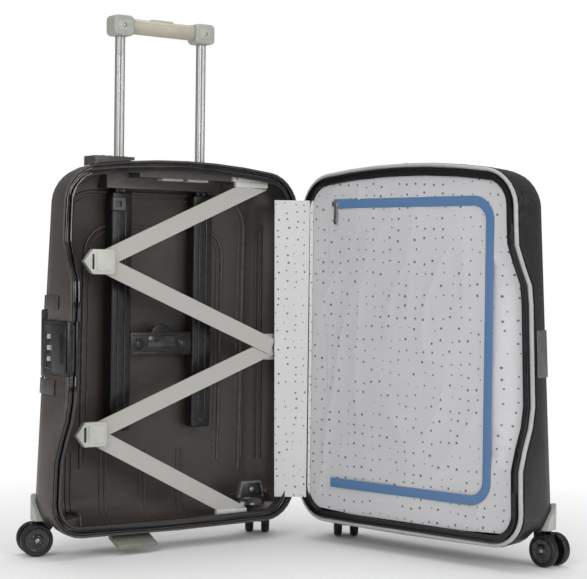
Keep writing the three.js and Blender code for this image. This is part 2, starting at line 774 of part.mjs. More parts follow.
// ---------- assembly ----------
const model = new THREE.Group();
const root = new THREE.Group();
model.add(root);
const lidTurn = new THREE.Group();
lidTurn.position.x = hingeOut;
lidTurn.rotation.z = THREE.MathUtils.degToRad(openAngle);
root.add(lidTurn);
const lid = new THREE.Group();
lid.position.x = -hingeOut;
lidTurn.add(lid);

const grown = {
  back: { flush: envelope(shells.back, 0), near: envelope(shells.back, fit) },
  lid: { flush: envelope(shells.lid, 0), near: envelope(shells.lid, fit) },
};
const proudCap = 2.2;
const catchSpan = { back: [40, 74], height: [255, 318] };

const beyond = { back: 2 * backDepth.top, top: caseTop + 55 };

function buildBack() {
  const [wellLeft, wellRight] = [-1, 1].map((sign) => -handleCentre + (sign * gripWell.width) / 2);
  const pockets = [
    ...wheelWell(casterPlaces.back_lock),
    ...wheelWell(casterPlaces.back_hinge),
    {
      outer: block(
        [wellLeft - wall, gripWell.front - wall, wellFloor - wall],
        [wellRight + wall, beyond.back, beyond.top],
      ),
      inner: block([wellLeft, gripWell.front, wellFloor], [wellRight, beyond.back, beyond.top]),
    },
    {
      outer: block(
        [-carry.centre - carry.half - wall, carry.back[0] - wall, carry.floor - wall],
        [-carry.centre + carry.half + wall, carry.back[1] + wall, beyond.top],
      ),
      inner: block(
        [-carry.centre - carry.half, carry.back[0], carry.floor],
        [-carry.centre + carry.half, carry.back[1], beyond.top],
      ),
    },
    sidePocketBlocks(),
  ];
  let shell = withPockets(emptyShell(shells.back), grown.back.flush, pockets);
  const tubeHole = tubeSection(1).map((size) => size + 2 * fit);
  for (const across of Object.values(tubeCentres)) {
    const hole = uprightBar(-across, tubeBack, tubeHole, 4, wellFloor - wall - 5, wellFloor + 5);
    shell = shell.subtract(hole);
  }
  const lockRoom = lockBlock(fit);
  piece(root, 'back_shell', shell.subtract(lockRoom), shellPlastic);

  const inner = wall + fit + (wallDraft * rimDepth) / (backDepth.top - panelRadius);
  const grooveEnd = grooveInset + grooveWidth;
  const rim = rimBar(shells.back, [
    [inner, rimGap], [grooveInset, rimGap], [grooveInset, rimGap + grooveDepth],
    [grooveEnd, rimGap + grooveDepth], [grooveEnd, rimGap], [inner + rimWidth, rimGap],
    [inner + rimWidth, rimGap + rimDepth], [inner, rimGap + rimDepth],
  ]);
  piece(root, 'back_rim', rim.subtract(lockRoom), glossBlack);
  const carryFoot = carry.floor + carry.gap;
  const carrySize = [2 * carry.half - 4, carry.back[1] - carry.back[0] - 4];
  const carryMiddle = (carry.back[0] + carry.back[1]) / 2;
  const carryTop = carryFoot + carry.thickness;
  const bar = uprightBar(-carry.centre, carryMiddle, carrySize, 6, carryFoot, carryTop);
  piece(root, 'top_handle', bar, blackPlastic);
  piece(root, 'wheel_cover_back_lock', wheelCover(casterPlaces.back_lock, grown.back.near), greyPlastic);
  piece(root, 'wheel_cover_back_hinge', wheelCover(casterPlaces.back_hinge, grown.back.near), greyPlastic);
  addHandle(root);
  addTubeCovers(root);
  addLock(root);
  addSideHandle(root, grown.back.near, envelope(shells.back, proudCap));
  addLatches(root, grown.back.near);
  addStraps(root);
  const flapFront = rimDepth + rimGap + fit;
  const flapStrip = block(
    [-flap.across[1], flapFront, flap.height[0]],
    [-flap.across[0], flapFront + flap.thickness, flap.height[1]],
  );
  piece(root, 'hinge_flap', flapStrip, liningCloth);
  piece(root, 'hinge_leaf_back', hingeLeaf(1), blackPlastic);
  const pin = post(hingeOut, 0, hingeHeights[0] - 2, hingeHeights[1] + 2, pinRadius, 14);
  piece(root, 'hinge_pin', pin, steel);
  addCaster(root, 'back_lock', casterPlaces.back_lock);
  addCaster(root, 'back_hinge', casterPlaces.back_hinge);
}

function buildLid() {
  const pockets = [...wheelWell(casterPlaces.lid_lock), ...wheelWell(casterPlaces.lid_hinge)];
  const { edge } = shells.lid;
  const shell = withPockets(emptyShell(shells.lid), grown.lid.flush, pockets);
  piece(lid, 'lid_shell', shell, shellPlastic);

  const middle = rimWidth / 2 + wall;
  const [tongueIn, tongueOut] = [middle - tongueWidth / 2, middle + tongueWidth / 2];
  const pipingEnd = pipingWidth + 2 * fit;
  const bandEnd = middle + rimWidth - 4;
  const rim = rimBar(shells.lid, [
    [pipingEnd, rimGap], [tongueIn, rimGap], [tongueIn, rimGap - tongueDepth],
    [tongueOut, rimGap - tongueDepth], [tongueOut, rimGap], [bandEnd, rimGap],
    [bandEnd, edge + 2], [wall + fit, edge + 2], [wall + fit, edge], [pipingEnd, edge],
  ]);
  piece(lid, 'lid_rim', rim, blackPlastic);
  const pipingSides = 8;
  const section = [];
  for (let k = 0; k < pipingSides; k++) {
    const turn = (2 * Math.PI * (k + 0.5)) / pipingSides;
    const radius = pipingWidth / 2;
    section.push([
      radius + fit + radius * Math.cos(turn),
      rimGap + radius + radius * Math.sin(turn),
    ]);
  }
  piece(lid, 'seal_piping', rimBar(shells.lid, section), pipingGrey);
  addLining(lid);
  const window = block(
    [-caseWidth - 30, -catchSpan.back[1], catchSpan.height[0]],
    [-caseWidth + 30, -catchSpan.back[0], catchSpan.height[1]],
  );
  const catchPlate = envelope(shells.lid, proudCap).subtract(grown.lid.near).intersect(window);
  piece(lid, 'side_catch', catchPlate, greyPlastic);
  piece(lid, 'wheel_cover_lid_lock', wheelCover(casterPlaces.lid_lock, grown.lid.near), greyPlastic);
  piece(lid, 'wheel_cover_lid_hinge', wheelCover(casterPlaces.lid_hinge, grown.lid.near), greyPlastic);
  piece(lid, 'hinge_leaf_lid', hingeLeaf(-1), blackPlastic);
  addCaster(lid, 'lid_lock', casterPlaces.lid_lock);
  addCaster(lid, 'lid_hinge', casterPlaces.lid_hinge);
}

buildBack();
buildLid();

// The origin is the middle of the footprint, on the floor.
model.updateMatrixWorld(true);
const bounds = new THREE.Box3().setFromObject(model, true);
const footprint = bounds.getCenter(new THREE.Vector3());
root.position.set(-footprint.x, -footprint.y, -bounds.min.z);
model.updateMatrixWorld(true);

export default model;
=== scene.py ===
import math
import random

import bpy
from mathutils import Matrix, Vector, geometry, noise
from mathutils.bvhtree import BVHTree


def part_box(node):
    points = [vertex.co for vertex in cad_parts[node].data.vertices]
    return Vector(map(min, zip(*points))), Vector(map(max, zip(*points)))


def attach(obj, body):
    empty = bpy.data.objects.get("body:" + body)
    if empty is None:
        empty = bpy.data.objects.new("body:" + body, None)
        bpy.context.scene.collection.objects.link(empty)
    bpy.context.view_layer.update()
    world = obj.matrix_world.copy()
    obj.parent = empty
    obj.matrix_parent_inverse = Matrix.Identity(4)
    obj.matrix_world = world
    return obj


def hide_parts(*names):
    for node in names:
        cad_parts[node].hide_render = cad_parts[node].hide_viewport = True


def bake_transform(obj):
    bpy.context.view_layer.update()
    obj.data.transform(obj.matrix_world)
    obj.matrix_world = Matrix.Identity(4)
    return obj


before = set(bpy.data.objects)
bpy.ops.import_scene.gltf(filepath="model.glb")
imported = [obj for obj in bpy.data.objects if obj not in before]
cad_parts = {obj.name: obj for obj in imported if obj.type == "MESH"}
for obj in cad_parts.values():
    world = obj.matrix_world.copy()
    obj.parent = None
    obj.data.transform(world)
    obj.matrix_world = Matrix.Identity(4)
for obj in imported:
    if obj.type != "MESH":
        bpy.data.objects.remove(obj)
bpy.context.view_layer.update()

# Lengths named here are in millimetres; helpers turn them into metres.
MM = 0.001
CASE_WIDTH = 392
CASE_TOP = 545
CASE_BOTTOM = 27
WALL = 3
HINGE_OUT = 3.5
OPEN_ANGLE = math.radians(101)
BACK_DEPTH = (70, 80)  # at the top and at the bottom
LID_DEPTH = (86, 100)
GRIP_WELL_DEPTH = 37
SOCKET_ROOF = 53
PLATE_WIDE = 46
PLATE_TALL = 24

pin_low, pin_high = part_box("hinge_pin")
HINGE = (pin_low + pin_high) / 2
LID_TURN = (
    Matrix.Translation(HINGE) @ Matrix.Rotation(OPEN_ANGLE, 4, "Z") @ Matrix.Translation(-HINGE)
)
random.seed(4)


# ---------- places ----------
def mm(x, y, z):
    """A point or a way given in millimetres."""
    return Vector((x, y, z)) * MM


def back_at(across, back, height):
    """A point of the back shell: across from the hinge side, back from the parting plane."""
    return Vector((HINGE.x - (across + HINGE_OUT) * MM, HINGE.y + back * MM, height * MM))


def lid_at(across, back, height):
    """The same for the lid, before it is turned open."""
    return back_at(across, -back, height)


def depth_at(depths, height):
    """How far the panel of a shell lies behind the parting plane at a height."""
    share = (height - CASE_BOTTOM) / (CASE_TOP - CASE_BOTTOM)
    return depths[1] + (depths[0] - depths[1]) * share


# ---------- mesh helpers ----------
def clear():
    if bpy.context.object and bpy.context.object.mode != "OBJECT":
        bpy.ops.object.mode_set(mode="OBJECT")
    bpy.ops.object.select_all(action="DESELECT")


def only(piece):
    clear()
    piece.select_set(True)
    bpy.context.view_layer.objects.active = piece
    return piece


def settle(piece):
    only(piece)
    bpy.ops.object.transform_apply(location=True, rotation=True, scale=True)
    return piece


def named(name):
    piece = bpy.context.object
    piece.name = piece.data.name = name
    return piece


def modify(piece, kind, **values):
    only(piece)
    modifier = piece.modifiers.new(kind.lower(), kind)
    for key, value in values.items():
        setattr(modifier, key, value)
    bpy.ops.object.modifier_apply(modifier=modifier.name)
    return piece


def bevel(piece, width, segments=2, angle=35):
    return modify(
        piece, "BEVEL", width=width * MM, segments=segments, limit_method="ANGLE",
        angle_limit=math.radians(angle), use_clamp_overlap=True, miter_outer="MITER_ARC",
    )


def smooth(piece, angle=35):
    only(piece)
    bpy.ops.object.shade_smooth_by_angle(angle=math.radians(angle))
    return piece


def box(name, one, other, edge=0.0, segments=2):
    """A block between two corner points, with rounded edges."""
    low = Vector(map(min, one, other))
    high = Vector(map(max, one, other))
    clear()
    bpy.ops.mesh.primitive_cube_add(size=1, location=(low + high) / 2)
    piece = named(name)
    piece.scale = high - low
    settle(piece)
    if edge:
        bevel(piece, edge, segments)
    return smooth(piece)


def rod(name, start, end, radius, edge=0.0, sides=24):
    """A round bar from one point to another."""
    along = end - start
    clear()
    bpy.ops.mesh.primitive_cylinder_add(
        vertices=sides, radius=radius * MM, depth=along.length, location=(start + end) / 2
    )
    piece = named(name)
    piece.rotation_euler = along.to_track_quat("Z", "Y").to_euler()
    settle(piece)
    if edge:
        bevel(piece, edge, 2, 60)
    return smooth(piece)


def ring(name, centre, facing, radius, thick, flat=1.0):
    """A torus round a point, its hole facing a direction."""
    clear()
    bpy.ops.mesh.primitive_torus_add(
        major_radius=radius * MM, minor_radius=thick * MM, major_segments=40, minor_segments=10
    )
    piece = named(name)
    piece.scale.z = flat
    settle(piece)
    piece.location = centre
    piece.rotation_euler = facing.to_track_quat("Z", "Y").to_euler()
    return smooth(settle(piece))


def cut(piece, *cutters):
    for cutter in cutters:
        modify(piece, "BOOLEAN", operation="DIFFERENCE", solver="EXACT", object=cutter)
        bpy.data.objects.remove(cutter)
    return piece


def joined(name, pieces):
    clear()
    for piece in pieces:
        piece.select_set(True)
    bpy.context.view_layer.objects.active = pieces[0]
    bpy.ops.object.join()
    return named(name)


def twin(piece, name, matrix=None):
    """A copy with its own mesh, moved by a matrix."""
    copy = bpy.data.objects.new(name, piece.data.copy())
    bpy.context.collection.objects.link(copy)
    copy.data.name = name
    if matrix is not None:
        copy.data.transform(matrix)
    return copy


def outward(piece):
    only(piece)
    bpy.ops.object.mode_set(mode="EDIT")
    bpy.ops.mesh.select_all(action="SELECT")
    bpy.ops.mesh.remove_doubles(threshold=0.00001)
    bpy.ops.mesh.normals_make_consistent(inside=False)
    bpy.ops.object.mode_set(mode="OBJECT")
    return piece


def from_case(node, name, edge=0.0, segments=2, angle=35):
    """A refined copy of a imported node: whole faces, rounded edges, smooth curves."""
    piece = twin(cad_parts[node], name)
    only(piece)
    bpy.ops.object.mode_set(mode="EDIT")
    bpy.ops.mesh.select_all(action="SELECT")
    bpy.ops.mesh.remove_doubles(threshold=0.00001)
    bpy.ops.mesh.dissolve_limited(angle_limit=math.radians(1.0))
    bpy.ops.object.mode_set(mode="OBJECT")
    piece.data.materials.clear()
    if edge:
        bevel(piece, edge, segments)
    return smooth(piece, angle)


def dress(node, name, material, body, slot, edge=0.0, segments=2, angle=35):
    """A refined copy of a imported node, in its material, that takes the node's place."""
    return wear(from_case(node, name, edge, segments, angle), material, body, slot, node)


def spin_solid(name, profile, steps=48):
    """A solid of revolution round Z through the origin, from (radius, height) pairs in mm."""
    mesh = bpy.data.meshes.new(name)
    points = [(radius * MM, 0, height * MM) for radius, height in profile]
    mesh.from_pydata(points, [(i, i + 1) for i in range(len(points) - 1)], [])
    piece = bpy.data.objects.new(name, mesh)
    bpy.context.collection.objects.link(piece)
    only(piece)
    bpy.ops.object.mode_set(mode="EDIT")
    bpy.ops.mesh.select_all(action="SELECT")
    bpy.ops.mesh.spin(steps=steps, angle=2 * math.pi, center=(0, 0, 0), axis=(0, 0, 1))
    bpy.ops.object.mode_set(mode="OBJECT")
    return smooth(outward(piece), 40)


def aim(piece, centre, facing):
    """Moves a piece made round Z at the origin to a place, its Z along a direction."""
    piece.data.transform(Matrix.Translation(centre) @ facing.to_track_quat("Z", "Y").to_matrix().to_4x4())
    return piece


def wear(piece, material, body, slot, *nodes):
    """Gives a finished piece its material, its body and the nodes it stands for; its slot is not used."""
    piece.data.materials.clear()
    piece.data.materials.append(material)
    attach(piece, body)
    if nodes:
        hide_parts(*nodes)
    return piece


def surface_of(piece):
    """The surface of a mesh, for rays to meet."""
    mesh = piece.data
    return BVHTree.FromPolygons([v.co for v in mesh.vertices], [p.vertices for p in mesh.polygons])


# ---------- shared effects ----------
def shade(code):
    """A linear colour from a six-figure hex code."""
    parts = [int(code[i:i + 2], 16) / 255 for i in (0, 2, 4)]
    linear = [p / 12.92 if p <= 0.04045 else ((p + 0.055) / 1.055) ** 2.4 for p in parts]
    return (*linear, 1.0)


class Graph:
    """A node tree with short ways to add to it."""

    def __init__(self, tree):
        self.tree = tree

    def node(self, kind, inputs=None, **settings):
        made = self.tree.nodes.new("ShaderNode" + kind)
        for key, value in settings.items():
            setattr(made, key, value)
        for key, value in (inputs or {}).items():
            self.feed(made, key, value)
        return made

    def feed(self, made, key, value):
        if isinstance(value, bpy.types.NodeSocket):
            self.tree.links.new(value, made.inputs[key])
        else:
            made.inputs[key].default_value = value

    def math(self, operation, a, b=0.0):
        return self.node("Math", {0: a, 1: b}, operation=operation).outputs[0]

    def spread(self, value, low, high, to_low=0.0, to_high=1.0):
        made = self.node("MapRange", {0: value, 1: low, 2: high, 3: to_low, 4: to_high})
        return made.outputs[0]

    def mix(self, share, a, b):
        return self.node("Mix", {0: share, 6: a, 7: b}, data_type="RGBA").outputs[2]

    def noise(self, vector, scale, detail=2.0, rough=0.5):
        inputs = {"Vector": vector, "Scale": scale, "Detail": detail, "Roughness": rough}
        return self.node("TexNoise", inputs).outputs[0]

    def place(self, output="Object"):
        return self.node("TexCoord").outputs[output]

    def use(self, group, **inputs):
        made = self.node("Group", node_tree=group)
        for key, value in inputs.items():
            self.feed(made, key, value)
        return made.outputs


def effect(name, inputs, outputs):
    """A new shader node group with float inputs and outputs, and its graph and end nodes."""
    tree = bpy.data.node_groups.new(name, "ShaderNodeTree")
    for label, value in inputs.items():
        socket = tree.interface.new_socket(label, in_out="INPUT", socket_type="NodeSocketFloat")
        socket.default_value = value
    for label in outputs:
        tree.interface.new_socket(label, in_out="OUTPUT", socket_type="NodeSocketFloat")
    graph = Graph(tree)
    return graph, tree.nodes.new("NodeGroupInput").outputs, tree.nodes.new("NodeGroupOutput").inputs


def make_grain():
    """Fine pebbled texture of moulded plastic, with a slow change of tone over it."""
    g, given, out = effect("moulded grain", {"Scale": 900.0}, ["Height", "Tone"])
    place = g.place()
    pebbles = g.node("TexVoronoi", {"Vector": place, "Scale": given["Scale"]}, feature="SMOOTH_F1")
    soft = g.noise(place, g.math("MULTIPLY", given["Scale"], 0.35), 3.0)
    height = g.math("ADD", g.math("MULTIPLY", pebbles.outputs[0], 0.7), g.math("MULTIPLY", soft, 0.6))
    g.tree.links.new(height, out["Height"])
    g.tree.links.new(g.spread(g.noise(place, 9.0, 4.0, 0.6), 0.3, 0.7), out["Tone"])
    return g.tree


def make_edge_wear():
    """Rubbed places along outer edges."""
    g, given, out = effect("edge wear", {"Reach": 0.06}, ["Wear"])
    sharp = g.node("NewGeometry").outputs["Pointiness"]
    edge = g.spread(sharp, 0.515, g.math("ADD", 0.515, given["Reach"]))
    broken = g.spread(g.noise(g.place(), 140.0, 5.0, 0.65), 0.42, 0.62)
    g.tree.links.new(g.math("MULTIPLY", edge, broken), out["Wear"])
    return g.tree


def make_scuffs():
    """Hairline scratches that cross each other, more in some places."""
    g, given, out = effect("scuffs", {"Amount": 0.5}, ["Scuff"])
    place = g.place()
    lines = []
    for turn, stretch in ((0.5, (14, 260, 30)), (-0.7, (30, 16, 300))):
        turned = g.node(
            "Mapping", {"Vector": place, "Rotation": (turn, turn * 0.6, turn), "Scale": stretch}
        )
        lines.append(g.spread(g.noise(turned.outputs[0], 1.0, 2.0), 0.62, 0.68))
    both = g.math("MAXIMUM", *lines)
    where = g.spread(g.noise(place, 11.0, 2.0), 0.48, 0.64)
    g.tree.links.new(g.math("MULTIPLY", g.math("MULTIPLY", both, where), given["Amount"]), out["Scuff"])
    return g.tree


def make_dust():
    """Fine dust, thicker on faces that look up."""
    g, given, out = effect("dust", {"Amount": 0.3}, ["Dust"])
    up = g.node("SeparateXYZ", {0: g.node("NewGeometry").outputs["Normal"]}).outputs[2]
    facing = g.spread(up, -0.2, 1.0, 0.15, 1.0)
    specks = g.spread(g.noise(g.place(), 420.0, 6.0, 0.7), 0.5, 0.75)
    g.tree.links.new(g.math("MULTIPLY", g.math("MULTIPLY", facing, specks), given["Amount"]), out["Dust"])
    return g.tree


def make_weave():
    """Over and under threads on the piece's own map, which is in metres."""
    g, given, out = effect("weave", {"Across": 1500.0, "Along": 1500.0}, ["Height", "Shade"])
    split = g.node("SeparateXYZ", {0: g.place("UV")}).outputs
    across = g.math("SINE", g.math("MULTIPLY", split[0], g.math("MULTIPLY", given["Across"], math.pi)))
    along = g.math("SINE", g.math("MULTIPLY", split[1], g.math("MULTIPLY", given["Along"], math.pi)))
    over = g.math("MULTIPLY", across, along)
    g.tree.links.new(g.spread(over, -1.0, 1.0), out["Height"])
    fibre = g.noise(g.place("UV"), 700.0, 3.0)
    g.tree.links.new(
        g.math("ADD", g.spread(over, -1, 1, 0, 0.6), g.math("MULTIPLY", fibre, 0.4)), out["Shade"]
    )
    return g.tree


def make_dots():
    """Small printed dots, unevenly placed and not all of one size."""
    g, given, out = effect("printed dots", {"Spacing": 0.011, "Radius": 0.16}, ["Dot"])
    cells = g.node(
        "TexVoronoi",
        {"Vector": g.place("UV"), "Scale": g.math("DIVIDE", 1.0, given["Spacing"]), "Randomness": 0.5},
        feature="F1",
        voronoi_dimensions="2D",
    )
    own = g.node("SeparateXYZ", {0: cells.outputs["Color"]}).outputs
    size = g.math("MULTIPLY", given["Radius"], g.spread(own[0], 0.0, 1.0, 0.45, 1.0))
    dot = g.math("LESS_THAN", cells.outputs["Distance"], size)
    shown = g.math("GREATER_THAN", own[1], 0.12)
    g.tree.links.new(g.math("MULTIPLY", dot, shown), out["Dot"])
    return g.tree


def make_drawn():
    """Fine lines left along the length of a drawn metal tube."""
    g, given, out = effect("drawn lines", {"Scale": 900.0}, ["Height", "Tone"])
    turned = g.node("Mapping", {"Vector": g.place(), "Scale": (1.0, 1.0, 0.012)}).outputs[0]
    lines = g.noise(turned, given["Scale"], 4.0, 0.7)
    g.tree.links.new(lines, out["Height"])
    g.tree.links.new(g.spread(g.noise(g.place(), 14.0, 3.0), 0.3, 0.7), out["Tone"])
    return g.tree


GRAIN = make_grain()
EDGE_WEAR = make_edge_wear()
SCUFFS = make_scuffs()
DUST = make_dust()
WEAVE = make_weave()
DOTS = make_dots()
DRAWN = make_drawn()


# ---------- materials ----------
def new_material(name):
    material = bpy.data.materials.new(name)
    material.use_nodes = True
    graph = Graph(material.node_tree)
    return material, graph, material.node_tree.nodes["Principled BSDF"]


def bump(graph, shader, height, depth):
    """Feeds a height from 0 to 1 to the shader's normal, depth in mm."""
    made = graph.node("Bump", {"Height": height, "Distance": depth * MM, "Strength": 1.0})
    graph.feed(shader, "Normal", made.outputs[0])


def plastic(name, colour, rough, grain=700.0, depth=0.05, coat=0.0, rub=None, scuff=0.4, dust=0.25):
    """Moulded plastic: pebbled grain, uneven tone, rubbed edges, hairline marks and dust."""
    material, g, shader = new_material(name)
    base = shade(colour)
    pale = shade(rub) if rub else tuple(min(1, 0.75 * c + 0.12) for c in base[:3]) + (1.0,)
    dark = tuple(0.78 * c for c in base[:3]) + (1.0,)
    texture = g.use(GRAIN, Scale=grain)
    worn = g.use(EDGE_WEAR)["Wear"]
    marks = g.use(SCUFFS, Amount=scuff)["Scuff"]
    film = g.use(DUST, Amount=dust)["Dust"]
    tone = g.mix(texture["Tone"], dark, base)
    tone = g.mix(g.math("MULTIPLY", worn, 0.32), tone, pale)
    tone = g.mix(g.math("MULTIPLY", marks, 0.35), tone, pale)
    tone = g.mix(g.math("MULTIPLY", film, 0.3), tone, shade("a7a29b"))
    g.feed(shader, "Base Color", tone)
    even = g.spread(texture["Tone"], 0.0, 1.0, max(0.02, rough - 0.05), rough + 0.06)
    g.feed(shader, "Roughness", g.math("ADD", even, g.math("MULTIPLY", g.math("ADD", marks, film), 0.2)))
    shader.inputs["Coat Weight"].default_value = coat
    shader.inputs["Coat Roughness"].default_value = 0.05
    bump(g, shader, g.math("SUBTRACT", texture["Height"], g.math("MULTIPLY", marks, 0.3)), depth)
    return material


def metal(name, colour, rough, scale=900.0, depth=0.012):
    """Bright metal with drawn lines and faint finger marks."""
    material, g, shader = new_material(name)
    base = shade(colour)
    lines = g.use(DRAWN, Scale=scale)
    marks = g.use(SCUFFS, Amount=0.5)["Scuff"]
    tone = g.mix(lines["Tone"], tuple(0.9 * c for c in base[:3]) + (1.0,), base)
    g.feed(shader, "Base Color", g.mix(g.math("MULTIPLY", marks, 0.3), tone, shade("8d8f90")))
    even = g.spread(lines["Height"], 0.3, 0.7, rough - 0.05, rough + 0.08)
    g.feed(shader, "Roughness", g.math("ADD", even, g.math("MULTIPLY", marks, 0.15)))
    shader.inputs["Metallic"].default_value = 1.0
    bump(g, shader, lines["Height"], depth)
    return material


def cloth(name, colour, threads, depth=0.05, dots=None, sheen=0.2, deep=0.82, rough=0.8):
    """Woven cloth on its own map, with printed dots where a dot colour is given."""
    material, g, shader = new_material(name)
    base = shade(colour)
    weave = g.use(WEAVE, Across=threads[0], Along=threads[1])
    tone = g.mix(weave["Shade"], tuple(deep * c for c in base[:3]) + (1.0,), base)
    soiled = g.spread(g.noise(g.place(), 6.0, 5.0, 0.6), 0.35, 0.75)
    tone = g.mix(g.math("MULTIPLY", soiled, 0.12), tone, shade("9c9891"))
    if dots:
        printed = g.use(DOTS, Spacing=dots[1], Radius=dots[2])["Dot"]
        tone = g.mix(g.math("MULTIPLY", printed, 0.85), tone, shade(dots[0]))
    g.feed(shader, "Base Color", tone)
    g.feed(shader, "Roughness", g.spread(weave["Height"], 0.0, 1.0, rough + 0.08, rough - 0.06))
    shader.inputs["Sheen Weight"].default_value = sheen
    shader.inputs["Sheen Roughness"].default_value = 0.4
    bump(g, shader, weave["Height"], depth)
    return material


SHELL_BROWN = plastic("shell_brown", "453f3a", 0.33, 620.0, 0.09, rub="756d66")
# The lid shell is the same brown plastic as the back shell; this darker copy of it is painted shade.
SHELL_BROWN_IN_PAINTED_SHADE = plastic("shell_brown_painted_shade", "1a1a1b", 0.36, 620.0, 0.09, rub="5a5856")
RIM_GLOSS = plastic("rim_gloss", "0c0c0d", 0.1, 260.0, 0.01, 0.8, rub="3a3a3c", scuff=0.6, dust=0.15)
SATIN_BLACK = plastic("satin_black", "0a0a0b", 0.3, 1100.0, 0.03, rub="4b4b4d", scuff=0.25, dust=0.12)
PALE_GREY = plastic("pale_grey", "b2b4ad", 0.42, 800.0, 0.04, rub="cfd0ca")
MID_GREY = plastic("mid_grey", "56575a", 0.4, 900.0, 0.04, rub="8a8b8c")
LATCH_GREY = plastic("latch_grey", "7f8178", 0.42, 900.0, 0.04, rub="b5b6ae")
OFF_WHITE = plastic("off_white", "c9cbc2", 0.4, 900.0, 0.03, rub="dfe0da")
GRIP_SOFT = plastic("grip_soft", "bcb7a4", 0.55, 1300.0, 0.06, rub="d0ccbd")
PIPING_GREY = plastic("piping_grey", "b7b7ba", 0.38, 1200.0, 0.03, rub="d6d6d8", dust=0.15)
WHEEL_BLACK = plastic("wheel_black", "0c0c0d", 0.42, 1400.0, 0.05, rub="3c3b3a", dust=0.6)
HUB_GLOSS = plastic("hub_gloss", "1a1a1c", 0.14, 500.0, 0.01, 0.5, rub="55565a")
SHADOW = plastic("shadow_black", "050505", 0.7, 900.0, 0.02, dust=0.1)
INK = plastic("dial_ink", "1c1c1e", 0.5, 900.0, 0.01, scuff=0.1)
TUBE_METAL = metal("satin_aluminium", "d2d3d1", 0.42)
STEEL = metal("plated_steel", "b8b8b8", 0.22, 1600.0, 0.006)
WEBBING = cloth("webbing", "c8c5c0", (1100.0, 620.0), 0.22, deep=0.62, sheen=0.15)
LINING = cloth(
    "dotted_lining", "d3d3d6", (2600.0, 2600.0), 0.02, ("46454a", 0.0155, 0.125), 0.3, 0.9, 0.55
)
FLAP = cloth("dotted_flap", "dcdcdc", (2400.0, 2400.0), 0.03, ("3c3b3f", 0.0125, 0.125), 0.2, 0.88, 0.7)
ZIP_TAPE = cloth("zip_tape", "5b87b8", (1500.0, 900.0), 0.12, deep=0.6)
# The coil blue is the zip's own colour darkened further with painted shade along the middle of the zip.
ZIP_COIL_WITH_PAINTED_SHADE = plastic("zip_coil_painted_shade", "2f5b8e", 0.35, 900.0, 0.02)
LINING_PLAIN = cloth("plain_lining", "cfcfd2", (2600.0, 2600.0), 0.02)
GRIP_BLACK = plastic("grip_black", "1b1b1c", 0.6, 1500.0, 0.08)
THREAD = plastic("thread", "a9a9aa", 0.8, 2400.0, 0.05, scuff=0.0)


# ---------- layouts ----------
# A layout is a flat drawing in metres that is then laid on the case: on the lid its x is the
# distance across, on the back shell minus that; its y is the height and its z points at the viewer
# who looks into the open shell.
def layout(columns, start):
    return Matrix.Translation(start) @ Matrix(columns).transposed().to_4x4()


LID_PLANE = LID_TURN @ layout(((-1, 0, 0), (0, 0, 1), (0, 1, 0)), lid_at(0, 0, 0))
BACK_PLANE = layout(((1, 0, 0), (0, 0, 1), (0, -1, 0)), back_at(0, 0, 0))


def leaning(depths, inset):
    """Leans a layout back onto the inside of a panel whose depth changes with height."""
    rise = (depths[0] - depths[1]) / (CASE_TOP - CASE_BOTTOM)
    lean = Matrix.Identity(4)
    lean[2][1] = -rise
    lean[2][3] = -(depth_at(depths, 0) - inset) * MM
    return lean


BACK_PANEL = BACK_PLANE @ leaning(BACK_DEPTH, WALL)
BACK_OUTSIDE = BACK_PLANE @ leaning(BACK_DEPTH, 0)
LID_OUTSIDE = LID_PLANE @ leaning(LID_DEPTH, 0)


def path(name, points, cyclic=False):
    """A poly curve through points in mm."""
    data = bpy.data.curves.new(name, "CURVE")
    data.dimensions = "3D"
    spline = data.splines.new("POLY")
    spline.points.add(len(points) - 1)
    for spot, point in zip(spline.points, points):
        spot.co = (*(c * MM for c in point), 1)
    spline.use_cyclic_u = cyclic
    curve = bpy.data.objects.new(name, data)
    bpy.context.collection.objects.link(curve)
    return curve


def length_of(points):
    return sum(math.dist(a, b) for a, b in zip(points, points[1:]))


def tube(name, points, radius, cyclic=False):
    """A round bead that follows points in mm."""
    curve = path(name, points, cyclic)
    curve.data.bevel_depth = radius * MM
    curve.data.bevel_resolution = 3
    curve.data.use_fill_caps = True
    only(curve)
    bpy.ops.object.convert(target="MESH")
    return smooth(outward(named(name)), 50)


def follow(piece, points, cyclic=False):
    """Bends a piece that lies along X to follow points in mm."""
    guide = path("guide", points, cyclic)
    modify(piece, "CURVE", object=guide, deform_axis="POS_X")
    bpy.data.objects.remove(guide)
    return piece


def repeat(piece, step, count):
    return modify(
        piece, "ARRAY", count=count, use_relative_offset=False, use_constant_offset=True,
        constant_offset_displace=(step * MM, 0, 0),
    )


def rounded(low, high, radius, front=0.0, steps=8):
    """Points in mm round a rectangle with round corners, starting at its lower left."""
    points = []
    corners = (
        (low[0] + radius, low[1] + radius, 180), (high[0] - radius, low[1] + radius, 270),
        (high[0] - radius, high[1] - radius, 0), (low[0] + radius, high[1] - radius, 90),
    )
    for x, y, begin in corners:
        for k in range(steps + 1):
            turn = math.radians(begin + 90 * k / steps)
            points.append((x + radius * math.cos(turn), y + radius * math.sin(turn), front))
    return points


def grid_sheet(name, rows, maps):
    """A sheet through rows of points, with its flat cut as its map, both in metres."""
    wide = len(rows[0])
    points = [point for row in rows for point in row]
    faces = [
        (i * wide + j, i * wide + j + 1, (i + 1) * wide + j + 1, (i + 1) * wide + j)
        for i in range(len(rows) - 1) for j in range(wide - 1)
    ]
    mesh = bpy.data.meshes.new(name)
    mesh.from_pydata(points, [], faces)
    flat = [spot for row in maps for spot in row]
    layer = mesh.uv_layers.new(name="UVMap")
    for loop in mesh.loops:
        layer.data[loop.index].uv = flat[loop.vertex_index]
    piece = bpy.data.objects.new(name, mesh)
    bpy.context.collection.objects.link(piece)
    return piece


